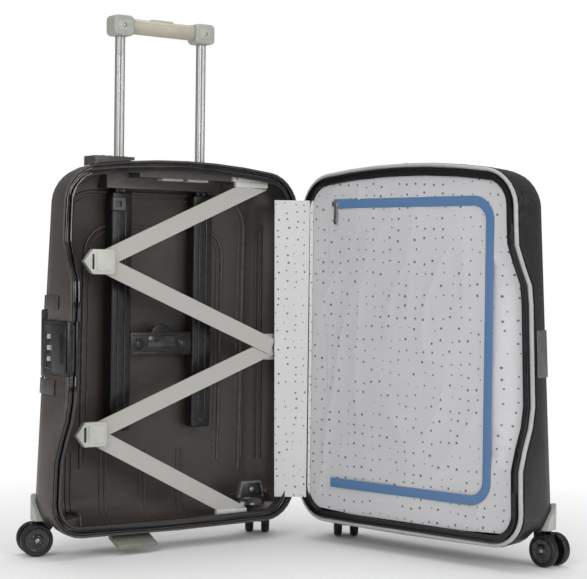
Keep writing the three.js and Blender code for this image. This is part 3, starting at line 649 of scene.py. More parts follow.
def stitches(name, points, material, body, plane, slot, step=3.4, front=0.35):
    """A row of sewn stitches along points of a layout."""
    count = max(2, int(length_of(points) / step))
    one = box("stitch", mm(0, -0.28, front - 0.25), mm(step * 0.62, 0.28, front + 0.2), 0.18, 1)
    row = follow(repeat(one, step, count), points)
    row.data.transform(plane)
    row.name = row.data.name = name
    return wear(smooth(row), material, body, slot)


def screw(name, centre, facing, radius, body, material=None):
    """A domed screw head with a cross recess."""
    head = spin_solid(
        name,
        [(0, -1.2), (radius, -1.2), (radius, 0.1), (radius * 0.86, 0.7), (radius * 0.45, 1.0), (0, 1.05)],
        24,
    )
    arm = radius * 0.62
    across = box("across", mm(-arm, -0.35, 0.35), mm(arm, 0.35, 3))
    upright = box("upright", mm(-0.35, -arm, 0.35), mm(0.35, arm, 3))
    cut(head, across, upright)
    aim(smooth(head, 30), centre, facing)
    return wear(head, material or STEEL, body, "steel")


UP = Vector((0, 0, 1))
FRONT = Vector((0, -1, 0))  # towards the opening of the back shell
LID_FRONT = LID_TURN.to_3x3() @ Vector((0, 1, 0))


# ---------- shells and rims ----------
def make_shells():
    dress("back_shell", "back_case_shell", SHELL_BROWN, "back_case", "shell_plastic", 0.5)
    dress("back_rim", "gloss_rim", RIM_GLOSS, "back_case", "shell_gloss", 0.5)
    # The lid shell takes the darker copy of the shell plastic: painted shade.
    dress("lid_shell", "lid_case_shell", SHELL_BROWN_IN_PAINTED_SHADE, "lid", "shell_plastic", 0.5)
    dress("lid_rim", "lid_tongue_rim", SATIN_BLACK, "lid", "black_plastic")
    dress("seal_piping", "edge_piping", PIPING_GREY, "lid", "seal", 0, angle=60)


def surface_under(tree, start, direction):
    hit = tree.ray_cast(start, direction)[0]
    return None if hit is None else hit / MM


def bead_on_shell(name, tree, rays, radius):
    """A moulded bead that follows the inside of the back shell where rays meet it."""
    points = [point for point in (surface_under(tree, *ray) for ray in rays) if point is not None]
    return wear(tube(name, points, radius), SHELL_BROWN, "back_case", "shell_plastic")


def arch(low, high, radius):
    """An arch with rounded corners whose legs stand on the lower height."""
    points = [(low[0], low[1], 0)]
    for centre_x, begin in ((low[0] + radius, 180), (high[0] - radius, 90)):
        for k in range(9):
            turn = math.radians(begin - 90 * k / 8)
            points.append(
                (centre_x + radius * math.cos(turn), high[1] - radius + radius * math.sin(turn), 0)
            )
    return points + [(high[0], low[1], 0)]


def make_inner_relief():
    """Nested ridges on the panel, beads that run up from the floor, and ribs on the hinge side."""
    for label, low, high, radius, thick in (
        ("outer", (-352, 96), (-50, 500), 46, 3.0),
        ("middle", (-344, 104), (-58, 492), 38, 1.7),
        ("inner", (-316, 112), (-88, 452), 38, 2.8),
        ("centre", (-308, 120), (-96, 444), 30, 1.5),
    ):
        ridge = tube(f"panel_ridge_{label}", arch(low, high, radius), thick)
        ridge.data.transform(BACK_PANEL)
        wear(ridge, SHELL_BROWN, "back_case", "shell_plastic")
    tree = surface_of(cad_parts["back_shell"])
    for k, across in enumerate((338, 330, 284, 276, 219, 211, 158, 150)):
        start = back_at(across, 28, 92)
        rays = []
        for step in range(23):
            turn = math.radians(42 - 132 * step / 22)
            rays.append((start, Vector((0, math.cos(turn), math.sin(turn)))))
        bead_on_shell(f"floor_bead_{k + 1}", tree, rays, 1.8)
    for k, turn in enumerate((12, 34, 41, 62)):
        way = Vector((math.cos(math.radians(turn)), math.sin(math.radians(turn)), 0))
        rays = [(back_at(70, 30, height), way) for height in range(112, 472, 12)]
        bead_on_shell(f"side_rib_{k + 1}", tree, rays, 2.3)


def make_outer_relief():
    """Raised frames on the outside of both panels."""
    for label, plane, material, body, sign in (
        ("back", BACK_OUTSIDE, SHELL_BROWN, "back_case", -1),
        # The lid's ridges take the darker copy of the shell plastic: painted shade.
        ("lid", LID_OUTSIDE, SHELL_BROWN_IN_PAINTED_SHADE, "lid", 1),
    ):
        for k, (inset, radius) in enumerate(((58, 40), (70, 30), (104, 26))):
            across = sorted((sign * inset, sign * (CASE_WIDTH - inset)))
            points = rounded((across[0], inset + 40), (across[1], CASE_TOP - inset), radius)
            ridge = tube(f"{label}_outer_ridge_{k + 1}", points, 1.8, cyclic=True)
            ridge.data.transform(plane)
            wear(ridge, material, body, "shell_plastic")


def tapered(piece, share):
    """The piece with its upper half drawn in across to a share of its width."""
    height = [vertex.co.z for vertex in piece.data.vertices]
    middle = (min(height) + max(height)) / 2
    centre = sum((vertex.co for vertex in piece.data.vertices), Vector()) / len(height)
    only(piece)
    for vertex in piece.data.vertices:
        vertex.select = vertex.co.z > middle
    bpy.ops.object.mode_set(mode="EDIT")
    bpy.ops.mesh.select_mode(type="VERT")
    bpy.ops.transform.resize(value=(share, 1, 1), center_override=centre)
    bpy.ops.object.mode_set(mode="OBJECT")
    return piece


def make_corner_plate():
    """A screwed plate over the caster socket, seen inside the lower hinge corner."""
    dome = spin_solid("socket_dome", [(0, 15), (12, 14), (22, 10.5), (28, 5), (30, -2), (0, -2)], 48)
    aim(dome, back_at(58, 42, SOCKET_ROOF), UP)
    wear(smooth(dome, 60), HUB_GLOSS, "back_case", "black_plastic")
    middle = back_at(58, 27, SOCKET_ROOF + 19)
    for name, inset, front, back, edge, material in (
        # The grey body shows as a rim round the black face: painted highlight along the plate's edges.
        ("corner_plate_body_painted_highlight", 0, 0, 8, 1.2, MID_GREY), ("corner_plate_face", 3, 1, 3, 0.6, SATIN_BLACK),
    ):
        wide, tall = PLATE_WIDE / 2 - inset - front, PLATE_TALL / 2 - inset
        layer = box(name, middle - mm(wide, front, tall), middle + mm(wide, back, tall), edge)
        wear(tapered(layer, 0.74), material, "back_case", "black_plastic")
    screw("corner_plate_screw", middle + Vector((0, -0.001, 0)), FRONT, 3.4, "back_case")
    for k, across in enumerate((146, 188)):
        foot = box(f"top_fixing_{k + 1}", back_at(across, 16, 517), back_at(across + 34, 34, 522), 1.2)
        wear(foot, PALE_GREY, "back_case", "grey_plastic")
        centre = back_at(across + 17, 25, 517)
        screw(f"top_fixing_screw_{k + 1}", centre, -UP, 3.0, "back_case")


# ---------- straps ----------
STRAP_BACK = 14
STRAP_WIDE = 24
STRAP_THICK = 1.5


def webbing(name, start, end, front, bow=0.0, slant=0.0):
    """A flat strap between two (across, height) points of the back shell."""
    one, other = (Vector((-point[0], point[1], 0)) for point in (start, end))
    along = (other - one).normalized()
    side = Vector((-along.y, along.x, 0))
    length = (other - one).length
    rows, maps = [], []
    for i in range(49):
        share = i / 48
        droop = bow * math.sin(math.pi * share)
        row, flat = [], []
        for j in range(9):
            offset = (j / 8 - 0.5) * STRAP_WIDE
            selvedge = 0.22 if abs(offset) > 0.42 * STRAP_WIDE else 0.0
            ripple = 0.12 * math.sin(share * 23 + offset * 0.3)
            height = front - droop + selvedge + ripple
            centre = one + along * share * (length - slant * offset * along.x / along.y)
            row.append((centre + side * offset + Vector((0, 0, height))) * MM)
            flat.append((offset * MM, share * length * MM))
        rows.append(row)
        maps.append(flat)
    strip = grid_sheet(name, rows, maps)
    modify(strip, "SOLIDIFY", thickness=STRAP_THICK * MM, offset=-1)
    strip.data.transform(BACK_PLANE)
    return smooth(strip, 50)


def strap_place(buckle):
    """Where a strap starts behind its buckle, as (across, height) on the back shell."""
    low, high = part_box(buckle)
    middle = (low + high) / 2
    return (back_at(0, 0, 0).x - middle.x) / MM - 3, middle.z / MM


def stitched_box(name, centre, along, front, body):
    """A sewn box with crossed lines that fixes folded webbing."""
    turn = Matrix.Translation((-centre[0] * MM, centre[1] * MM, 0)) @ Matrix.Rotation(along, 4, "Z")
    half_long, half_wide = 7, 8.5
    corners = [
        (-half_long, -half_wide), (half_long, -half_wide), (half_long, half_wide), (-half_long, half_wide)
    ]
    lines = [(corners[i], corners[(i + 1) % 4]) for i in range(4)]
    lines += [(corners[0], corners[2]), (corners[1], corners[3])]
    for k, (a, b) in enumerate(lines):
        points = [(*a, 0), (*b, 0)]
        stitches(f"{name}_{k + 1}", points, THREAD, body, BACK_PLANE @ turn, "webbing", 2.6, front)


def make_straps():
    upper, lower = strap_place("buckle_upper"), strap_place("buckle_lower")
    middle, top, bottom = (34, 281), (73, 512), (100, 48)
    front = -STRAP_BACK
    legs = (
        ("strap_upper_rising", upper, top, front, 0.0),
        ("strap_upper_falling", upper, middle, front, 0.5),
        ("strap_lower_rising", lower, middle, front - 2.2, 0.5),
        ("strap_lower_falling", lower, bottom, front - 2.2, 0.0),
    )
    for name, start, end, layer, bow in legs:
        strip = webbing(name, start, end, layer, bow, 0.0 if end is middle else 0.85)
        node = "strap_upper" if "upper" in name else "strap_lower"
        wear(strip, WEBBING, "back_case", "webbing", node)
        run = math.atan2(end[1] - start[1], start[0] - end[0])
        if end is not middle:
            centre = [end[i] + (start[i] - end[i]) * 0.09 for i in (0, 1)]
            stitched_box(name + "_sewn", centre, run, layer, "back_case")
    fold = box("strap_middle_fold", back_at(24, 17, 262), back_at(44, 19.2, 300), 0.8)
    wear(fold, WEBBING, "back_case", "webbing")
    for label in ("upper", "lower"):
        make_buckle(label)
    for label in ("top", "bottom"):
        make_anchor(label)


def make_buckle(label):
    """A flat arrow-shaped buckle with a slot, a raised pad and grip bars on its tip."""
    node = "buckle_" + label
    low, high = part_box(node)
    dress(node, node + "_body", OFF_WHITE, "back_case", "pale_plastic", 1.6, 3)
    middle = (low + high) / 2
    tip, front = low.x, low.y
    slot = box(
        node + "_slot", Vector((tip + 0.0125, front - 0.0001, middle.z - 0.0105)),
        Vector((tip + 0.0152, front + 0.003, middle.z + 0.0105)), 0.6,
    )
    wear(slot, SHADOW, "back_case", "black_plastic")
    cushion = box(
        node + "_raised_pad", Vector((tip + 0.0195, front - 0.0013, middle.z - 0.0125)),
        Vector((high.x - 0.004, front + 0.002, middle.z + 0.0125)), 1.2, 3,
    )
    wear(cushion, OFF_WHITE, "back_case", "pale_plastic")
    for k in range(3):
        groove = box(
            f"{node}_grip_{k + 1}",
            Vector((tip + 0.004 + 0.0024 * k, front - 0.0004, middle.z - 0.003 - 0.0015 * k)),
            Vector((tip + 0.005 + 0.0024 * k, front + 0.001, middle.z + 0.003 + 0.0015 * k)),
            0.3,
        )
        wear(groove, OFF_WHITE, "back_case", "pale_plastic")


def make_anchor(label):
    """A bar screwed into the wall that the webbing is looped round."""
    node = "strap_anchor_" + label
    low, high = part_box(node)
    dress(node, node + "_bar", OFF_WHITE, "back_case", "pale_plastic", 1.4, 3)
    near, far, below, above = (46, 102, 512.3, 520.9) if label == "top" else (76, 128, 40.2, 48.3)
    loop = box(node + "_loop", back_at(far, 11, below), back_at(near, 18.5, above), 1.4, 3)
    wear(loop, OFF_WHITE, "back_case", "pale_plastic")
    for k, share in enumerate((0.12, 0.88)):
        centre = Vector((low.x + (high.x - low.x) * share, low.y - 0.0002, (low.z + high.z) / 2))
        screw(f"{node}_screw_{k + 1}", centre, FRONT, 2.2, "back_case")


# ---------- lid lining ----------
def cloth_height(x, z, seed):
    """Soft folds of a stretched cloth in mm, from its place in metres."""
    slow = noise.noise(Vector((x * 7, z * 3.2, seed)))
    creases = 1 - abs(noise.noise(Vector((x * 16 + z * 5, z * 5.5, seed + 4))))
    small = noise.noise(Vector((x * 34, z * 22, seed + 9)))
    return 1.1 * slow + 1.5 * creases ** 6 + 0.3 * small


def outline_of(piece):
    """The height span of a convex outline and a function that gives its ends at a height."""
    points = sorted({(round(v.co.x, 5), round(v.co.z, 5)) for v in piece.data.vertices})
    hull = [points[i] for i in geometry.convex_hull_2d([Vector(p) for p in points])]

    def ends(height):
        crossings = []
        for (x0, z0), (x1, z1) in zip(hull, hull[1:] + hull[:1]):
            if (z0 - height) * (z1 - height) <= 0 and z0 != z1:
                crossings.append(x0 + (x1 - x0) * (height - z0) / (z1 - z0))
        return min(crossings), max(crossings)

    heights = [z for _, z in hull]
    return min(heights), max(heights), ends


def make_lining():
    form = twin(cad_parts["lining_panel"], "lining_form", LID_TURN.inverted())
    tree = surface_of(form)
    low, high, ends = outline_of(form)
    rows, maps = [], []
    zero = back_at(0, 0, 0)
    tall, wide = 150, 110
    for i in range(tall + 1):
        height = low + (high - low) * (0.0015 + 0.997 * i / tall)
        left, right = ends(height)
        row, flat = [], []
        for j in range(wide + 1):
            x = left + (right - left) * (0.001 + 0.998 * j / wide)
            hit = tree.ray_cast(Vector((x, zero.y + 0.08, height)), Vector((0, -1, 0)))[0]
            y = hit.y if hit else rows[-1][j].y if rows else zero.y - 0.008
            edge = min(j, wide - j, i * 1.2, (tall - i) * 1.2) / 8
            lift = cloth_height(x, height, 2.0) * min(1, edge) + 0.4
            row.append(Vector((x, y + lift * MM, height)))
            flat.append((x - zero.x, height))
        rows.append(row)
        maps.append(flat)
    bpy.data.objects.remove(form)
    sheet = grid_sheet("lid_lining", rows, maps)
    modify(sheet, "SOLIDIFY", thickness=0.5 * MM, offset=0)
    sheet.data.transform(LID_TURN)
    wear(smooth(sheet, 60), LINING, "lid", "lining", "lining_panel")


def zip_route(inset):
    """The open path of the zip in the lid's layout, in mm."""
    low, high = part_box("zip_track")
    left, right, bottom, top = 60, CASE_WIDTH - 47 - inset, low.z / MM + inset, high.z / MM - inset
    radius = 34 - inset
    points = [(left, top, 0)]
    for centre, begin in (((right - radius, top - radius), 90), ((right - radius, bottom + radius), 0)):
        for k in range(9):
            turn = math.radians(begin - 90 * k / 8)
            points.append((centre[0] + radius * math.cos(turn), centre[1] + radius * math.sin(turn), 0))
    points.append((left, bottom, 0))
    return evened(points, 4.0)


def evened(points, step):
    """The same path with points about a step apart."""
    result = []
    for a, b in zip(points, points[1:]):
        count = max(1, round(math.dist(a, b) / step))
        result += [tuple(a[i] + (b[i] - a[i]) * k / count for i in range(3)) for k in range(count)]
    return result + [points[-1]]


ZIP_WIDE = 13
ZIP_FRONT = -5.2  # the zip's face, behind the parting plane


def make_zip():
    route = zip_route(ZIP_WIDE / 2)
    rows, maps, run = [], [], 0.0
    for i, point in enumerate(route):
        before, after = route[max(0, i - 1)], route[min(len(route) - 1, i + 1)]
        way = (Vector(after) - Vector(before)).normalized()
        side = Vector((-way.y, way.x, 0))
        if i:
            run += math.dist(route[i - 1], point)
        row, flat = [], []
        for j in range(13):
            offset = (j / 12 - 0.5) * ZIP_WIDE
            crown = 0.55 * (1 - (2 * offset / ZIP_WIDE) ** 2) - 0.5
            row.append((Vector(point) + side * offset + Vector((0, 0, ZIP_FRONT + crown))) * MM)
            flat.append((offset * MM, run * MM))
        rows.append(row)
        maps.append(flat)
    tape = grid_sheet("zip_tape", rows, maps)
    modify(tape, "SOLIDIFY", thickness=0.8 * MM, offset=-1)
    tape.data.transform(LID_PLANE)
    wear(smooth(tape, 50), ZIP_TAPE, "lid", "zip_blue", "zip_track")
    length = length_of(route)
    tooth = box("tooth", mm(0, -2.4, ZIP_FRONT), mm(1.15, 2.4, ZIP_FRONT + 0.75), 0.3, 1)
    teeth = follow(repeat(tooth, 1.75, int(length / 1.75)), route)
    teeth.data.transform(LID_PLANE)
    teeth.name = teeth.data.name = "zip_teeth"
    # The teeth take the coil blue with painted shade darkened into it.
    wear(smooth(teeth), ZIP_COIL_WITH_PAINTED_SHADE, "lid", "zip_blue")
    for label, inset in (("outer", 0.9), ("inner", ZIP_WIDE - 0.9)):
        lip = tube(f"zip_{label}_piping", [(x, y, ZIP_FRONT - 0.2) for x, y, _ in zip_route(inset)], 0.55)
        lip.data.transform(LID_PLANE)
        # The edge cords take the same coil blue with painted shade darkened into it.
        wear(lip, ZIP_COIL_WITH_PAINTED_SHADE, "lid", "zip_blue")
    for label, inset in (("outer", 2.4), ("inner", ZIP_WIDE - 2.4)):
        stitches(
            f"zip_{label}_stitches",
            zip_route(inset),
            THREAD,
            "lid",
            LID_PLANE,
            "zip_blue",
            3.2,
            ZIP_FRONT - 0.1,
        )


def make_puller():
    """The zip's tab with its eye, and the slider that it hangs on."""
    low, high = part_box("zip_puller")
    tab = from_case("zip_puller", "zip_tab", 0.5, 3)
    middle = (low + high) / 2
    eye = rod(
        "eye",
        middle + LID_FRONT * -0.004 + Vector((0, 0, -0.010)),
        middle + LID_FRONT * 0.004 + Vector((0, 0, -0.010)),
        1.5,
    )
    cut(tab, eye)
    wear(smooth(tab), STEEL, "zip_puller", "steel", "zip_puller")
    route = zip_route(ZIP_WIDE / 2)
    slider = box(
        "zip_slider",
        mm(route[0][0] - 3, route[0][1] - 4, ZIP_FRONT),
        mm(route[0][0] + 9, route[0][1] + 4, ZIP_FRONT + 1.9),
        0.9,
        3,
    )
    slider.data.transform(LID_PLANE)
    wear(slider, STEEL, "lid", "steel")


def make_lining_seams():
    """Lines of stitches down the hinge side of the lining and round its edge."""
    seam = evened([(50, 60, 0), (49, 512, 0)], 5)
    stitches("lining_side_seam", seam, THREAD, "lid", LID_PLANE, "lining", 3.6, -7.0)
    welt = tube("lining_side_welt", [(x + 1.6, y, -7.3) for x, y, _ in seam], 0.7)
    welt.data.transform(LID_PLANE)
    wear(welt, LINING_PLAIN, "lid", "lining")
    for label, height in (("top", 514), ("bottom", 66)):
        seam = evened([(60, height, 0), (300, height, 0)], 5)
        stitches(f"lining_{label}_seam", seam, THREAD, "lid", LID_PLANE, "lining", 3.6, -7.0)


# ---------- hinge flap ----------
def make_flap():
    """A dotted cloth strip that hides the hinge, laid between the back shell and the open lid."""
    low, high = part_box("hinge_flap")
    tall, wide = 90, 24
    start_at = back_at(31, 11, 0)
    end_at = LID_TURN @ lid_at(20, 4.6, 0)
    span = (end_at - start_at).length
    rows, maps = [], []
    for i in range(tall + 1):
        share_up = i / tall
        height = low.z + 0.001 + (high.z - low.z - 0.002) * share_up
        row, flat = [], []
        for j in range(wide + 1):
            share = j / wide
            point = start_at.lerp(end_at, share)
            lean = (1 - share) * (share_up - 0.5) * 0.006
            fold = 1.1 * math.sin(share * 9 + height * 9) * math.sin(math.pi * share)
            crease = cloth_height(share * span, height, 7.0) * 0.7 * math.sin(math.pi * share)
            bulge = Vector((0.55, -0.83, 0)) * ((fold + crease) * MM + 0.0018 * math.sin(math.pi * share))
            row.append(Vector((point.x - lean, point.y, height)) + bulge)
            flat.append((share * span, height))
        rows.append(row)
        maps.append(flat)
    strip = grid_sheet("hinge_flap_cloth", rows, maps)
    modify(strip, "SOLIDIFY", thickness=0.6 * MM, offset=0)
    smooth(strip, 60)
    strip.data.materials.append(FLAP)
    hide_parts("hinge_flap")
    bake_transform(strip)


# ---------- telescopic handle ----------
def make_tubes():
    """Tubes with a shallow flute down the front and the back."""
    for stage, body, flute in (
        ("outer", "back_case", 2.2), ("middle", "handle_middle", 1.9), ("upper", "handle_upper", 1.6)
    ):
        for side in ("left", "right"):
            node = f"{stage}_tube_{side}"
            low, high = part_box(node)
            tube_body = from_case(node, node + "_drawn", 0)
            middle = (low + high) / 2
            for face in (low.y, high.y):
                cutter = rod(
                    "flute",
                    Vector((middle.x, face, low.z - 0.01)),
                    Vector((middle.x, face, high.z + 0.01)),
                    flute,
                    0,
                    16,
                )
                cutter.data.transform(
                    Matrix.Translation((0, face, 0)) @ Matrix.Diagonal(
                        (1, 0.28, 1, 1)
                    ) @ Matrix.Translation((0, -face, 0)),
                )
                cut(tube_body, cutter)
            skin = SATIN_BLACK if stage == "outer" else TUBE_METAL
            wear(smooth(tube_body, 30), skin, body, "tube_aluminium", node)
    for side in ("left", "right"):
        low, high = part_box(f"outer_tube_{side}")
        middle = (low + high) / 2
        top = (CASE_TOP - GRIP_WELL_DEPTH) * MM
        collar = box(
            f"tube_collar_{side}", Vector((middle.x - 0.0125, middle.y - 0.0105, top)),
            Vector((middle.x + 0.0125, middle.y + 0.0105, top + 0.004)), 1.5, 3,
        )
        hole = box(
            "hole",
            Vector((low.x + 0.0008, low.y + 0.0008, top - 0.01)),
            Vector((high.x - 0.0008, high.y - 0.0008, top + 0.01)),
        )
        wear(smooth(cut(collar, hole)), SATIN_BLACK, "back_case", "black_plastic")


def make_grip():
    low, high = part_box("handle_grip")
    middle = (low + high) / 2
    dress("handle_grip", "grip_sleeve", GRIP_SOFT, "handle_upper", "grip", 0.6)
    for k, share in enumerate((0.03, 0.97)):
        x = low.x + (high.x - low.x) * share
        band = ring(
            f"grip_end_band_{k + 1}", Vector((x, middle.y, middle.z)), Vector((1, 0, 0)), 10.9, 0.7
        )
        wear(band, PALE_GREY, "handle_upper", "grey_plastic")
    for k, turn in enumerate((-0.5, 0.5)):
        line = Vector((0, -math.cos(turn), math.sin(turn))) * 0.01095
        seam = rod(f"grip_seam_{k + 1}", Vector((low.x + 0.004, middle.y, middle.z)) + line,
                   Vector((high.x - 0.004, middle.y, middle.z)) + line, 0.35, 0, 8)
        wear(seam, GRIP_SOFT, "handle_upper", "grip")
    for side in ("left", "right"):
        node = "grip_bracket_" + side
        low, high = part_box(node)
        dress(node, node + "_cast", PALE_GREY, "handle_upper", "grey_plastic", 3.0, 4)
        middle = (low + high) / 2
        panel = box(node + "_inset", Vector((low.x + 0.006, low.y - 0.0006, low.z + 0.007)),
                    Vector((high.x - 0.006, low.y + 0.001, high.z - 0.007)), 0.6, 2)
        wear(panel, PALE_GREY, "handle_upper", "grey_plastic")
        for k, face in enumerate((low.y, high.y)):
            way = -FRONT if k else FRONT
            screw(
                f"{node}_screw_{k + 1}",
                Vector((middle.x, face, middle.z)) + way * 0.0006,
                way,
                2.6,
                "handle_upper",
            )
    dress("release_button", "release_key", GRIP_SOFT, "release_button", "black_plastic", 1.0, 3)


def make_covers():
    """Covers over the tubes with raised rails, the brace between them, and their screws."""
    for side in ("left", "right"):
        node = "tube_cover_" + side
        low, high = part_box(node)
        middle = (low + high) / 2
        dress(node, node + "_shell", SATIN_BLACK, "back_case", "black_plastic", 2.6, 4)
        for k, shift in enumerate((-0.0055, 0.0055)):
            rail = box(
                f"{node}_rail_{k + 1}",
                Vector((middle.x + shift - 0.0011, low.y - 0.0012, low.z + 0.022)),
                Vector((middle.x + shift + 0.0011, low.y + 0.001, high.z - 0.018)),
                0.8,
                3,
            )
            wear(rail, HUB_GLOSS, "back_case", "black_plastic")
        screw(
            node + "_screw", Vector((middle.x, low.y, low.z + 0.010)), FRONT, 3.2, "back_case", HUB_GLOSS
        )
    low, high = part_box("tube_cover_left")
    clip = box(
        "cover_clip",
        Vector((low.x - 0.002, low.y - 0.006, high.z - 0.026)),
        Vector((high.x - 0.014, low.y, high.z - 0.008)),
        1.2,
        3,
    )
    window = box(
        "window",
        Vector((low.x + 0.003, low.y - 0.02, high.z - 0.021)),
        Vector((high.x - 0.020, low.y - 0.002, high.z - 0.013)),
    )
    wear(smooth(cut(clip, window)), MID_GREY, "back_case", "grey_plastic")
    low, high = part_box("support_plate")
    middle = (low + high) / 2
    dress("support_plate", "brace_plate", SATIN_BLACK, "back_case", "black_plastic", 1.4, 3)
    top = low.z + 0.034
    for k, x in enumerate((low.x + 0.014, high.x - 0.014)):
        boss = spin_solid(
            f"brace_boss_{k + 1}",
            [(0, -2), (8.6, -2), (8.6, 0.4), (7.4, 1.6), (5.6, 1.7), (5.0, 0.9), (0, 0.9)],
            32,
        )
        aim(boss, Vector((x, low.y, (low.z + top) / 2)), FRONT)
        wear(smooth(boss, 30), SATIN_BLACK, "back_case", "black_plastic")
        screw(
            f"brace_screw_{k + 1}",
            Vector((x, low.y - 0.0009, (low.z + top) / 2)),
            FRONT,
            4.2,
            "back_case",
            HUB_GLOSS,
        )
    pad = box(
        "brace_pad",
        Vector((middle.x - 0.022, low.y - 0.0012, low.z + 0.012)),
        Vector((middle.x + 0.022, low.y + 0.001, top - 0.006)),
        0.9,
        3,
    )
    wear(pad, HUB_GLOSS, "back_case", "black_plastic")
    for name, rise in (("brace_rim_lower", 3.0), ("brace_rim_upper", 28.5)):
        foot = low + mm(4, -1.2, rise)
        bar = box(name, foot, Vector((high.x - 0.004, low.y + 0.001, foot.z + 0.0025)), 0.6, 2)
        wear(bar, SATIN_BLACK, "back_case", "black_plastic")


# ---------- lock, latches and carry handles ----------
def make_dials():
    """Three number wheels with finger ribs between their ten figures."""
    for k in range(3):
        node = f"lock_dial_{k + 1}"
        low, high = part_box(node)
        middle = (low + high) / 2
        drum = spin_solid(
            node + "_drum",
            [(1.7, -3), (4.5, -3), (5.0, -2.4), (5.0, 2.4), (4.5, 3), (1.7, 3), (1.7, -3)],
            40,
        )
        drum.data.transform(Matrix.Translation(middle))
        wear(drum, OFF_WHITE, node, "pale_plastic", node)
        ribs, figures = [], []
        for figure in range(10):
            turn = math.pi + 2 * math.pi * (figure - k * 3 - 1) / 10
            way = Vector((math.cos(turn), math.sin(turn), 0))
            between = Vector((math.cos(turn + math.pi / 10), math.sin(turn + math.pi / 10), 0))
            ribs.append(
                rod(
                    "rib",
                    middle + between * 0.005 - Vector((0, 0, 0.0026)),
                    middle + between * 0.005 + Vector((0, 0, 0.0026)),
                    0.35,
                    0,
                    8,
                ),
            )
            figures.append(figure_mesh(str(figure), middle + way * 0.00495, way))
        wear(joined(node + "_ribs", ribs), OFF_WHITE, node, "pale_plastic")
        wear(joined(node + "_figures", figures), INK, node, "pale_plastic")


def figure_mesh(text, centre, way):
    clear()
    bpy.ops.object.text_add()
    label = bpy.context.object
    label.data.body = text
    label.data.size = 0.0036
    label.data.extrude = 0.00008
    label.data.align_x = "CENTER"
    label.data.align_y = "CENTER"
    bpy.ops.object.convert(target="MESH")
    turn = Matrix((UP.cross(way), UP, way)).transposed().to_4x4()
    label.data.transform(Matrix.Translation(centre) @ turn)
    return label


def make_lock():
    low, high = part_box("lock_housing")
    dress("lock_housing", "lock_case", SATIN_BLACK, "back_case", "black_plastic", 0.7)
    for name, fall in (("lock_frame_top", 0.0085), ("lock_frame_bottom", 0.0640)):
        bar = box(name, Vector((low.x - 0.0006, low.y + 0.044, high.z - fall)),
                  Vector((low.x + 0.001, high.y - 0.006, high.z - fall + 0.0015)), 0.4)
        wear(bar, HUB_GLOSS, "back_case", "black_plastic")
    key_low, key_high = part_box("key_cylinder")
    key_middle = (key_low + key_high) / 2
    dress("key_cylinder", "key_barrel", STEEL, "key_cylinder", "steel", 0.3)
    rim = ring(
        "key_rim", Vector((low.x - 0.0001, key_middle.y, key_middle.z)), Vector((1, 0, 0)), 4.1, 0.5
    )
    wear(rim, STEEL, "back_case", "steel")
    lever_low, lever_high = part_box("side_latch")
    dress("side_latch", "side_lever", SATIN_BLACK, "side_latch", "black_plastic", 1.0, 3)
    for k in range(5):
        y = lever_low.y + 0.004 + k * 0.0024
        grip = box(f"side_lever_grip_{k + 1}", Vector((lever_low.x - 0.0005, y, lever_low.z + 0.012)),
                   Vector((lever_low.x + 0.001, y + 0.0011, lever_high.z - 0.012)), 0.4)
        wear(grip, SATIN_BLACK, "side_latch", "black_plastic")


def make_latches():
    low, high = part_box("top_latch")
    dress("top_latch", "top_latch_lever", SHELL_BROWN, "top_latch", "black_plastic", 1.4, 3)
    for k in range(4):
        x = low.x + 0.012 + k * 0.0105
        rib = box(f"top_latch_grip_{k + 1}", Vector((x, low.y + 0.003, high.z - 0.001)),
                  Vector((x + 0.006, low.y + 0.006, high.z + 0.0006)), 0.5)
        wear(rib, SATIN_BLACK, "top_latch", "black_plastic")
    dress("bottom_latch", "bottom_latch_lever", LATCH_GREY, "bottom_latch", "grey_plastic", 1.2, 3)
    dress("side_catch", "side_catch_plate", MID_GREY, "lid", "grey_plastic", 0.8)


def make_handles():
    low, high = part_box("side_handle")
    dress("side_handle", "side_grip_bar", HUB_GLOSS, "side_handle", "shell_gloss", 2.6, 4)
    pad = box("side_grip_pad", Vector((low.x - 0.0006, low.y + 0.004, low.z + 0.012)),
              Vector((low.x + 0.002, high.y - 0.004, high.z - 0.012)), 1.4, 3)
    wear(pad, SATIN_BLACK, "side_handle", "shell_gloss")
    for label in ("upper", "lower"):
        node = "side_handle_mount_" + label
        dress(node, node + "_cap", SHELL_BROWN, "back_case", "shell_plastic", 1.0, 3)
    low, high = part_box("top_handle")
    middle = (low + high) / 2
    dress("top_handle", "top_grip_bar", SATIN_BLACK, "top_handle", "black_plastic", 2.6, 4)
    pad = box("top_grip_pad", Vector((low.x + 0.026, low.y + 0.003, high.z - 0.001)),
              Vector((high.x - 0.026, high.y - 0.003, high.z + 0.0007)), 0.6, 3)
    wear(pad, GRIP_BLACK, "top_handle", "black_plastic")
    for k, x in enumerate((low.x + 0.006, high.x - 0.006)):
        post = box(f"top_handle_post_{k + 1}", Vector((x - 0.004, middle.y - 0.0055, low.z - 0.0145)),
                   Vector((x + 0.004, middle.y + 0.0055, low.z + 0.002)), 1.2, 3)
        wear(post, SATIN_BLACK, "top_handle", "black_plastic")


# ---------- casters ----------
TRAIL = 16
# Which way each wheel trails in degrees, before its shell is turned, and that turn.
CASTERS = {
    "back_lock": (166, 0), "back_hinge": (54, 0), "lid_lock": (174, 101), "lid_hinge": (133, 101),
}
TYRE = (
    (2.7, -5.2),
    (7.0, -5.6),
    (17.6, -5.4),
    (18.6, -6.0),
    (20.6, -5.8),
    (21.9, -4.4),
    (22.4, -2.2),
    (22.5, 0),
    (22.4, 2.2),
    (21.9, 4.4),
    (20.6, 5.8),
    (18.6, 6.0),
    (17.4, 5.6),
    (16.9, 4.2),
    (7.6, 3.6),
    (2.7, 3.6),
    (2.7, -5.2),
)
DISC = (
    (3.0, 3.4), (16.6, 3.9), (16.4, 4.9), (15.2, 5.3), (13.8, 4.9), (9.6, 4.4), (8.4, 4.8), (7.4, 5.6),
    (5.4, 5.8), (4.6, 5.2), (3.0, 5.1), (3.0, 3.4),
)


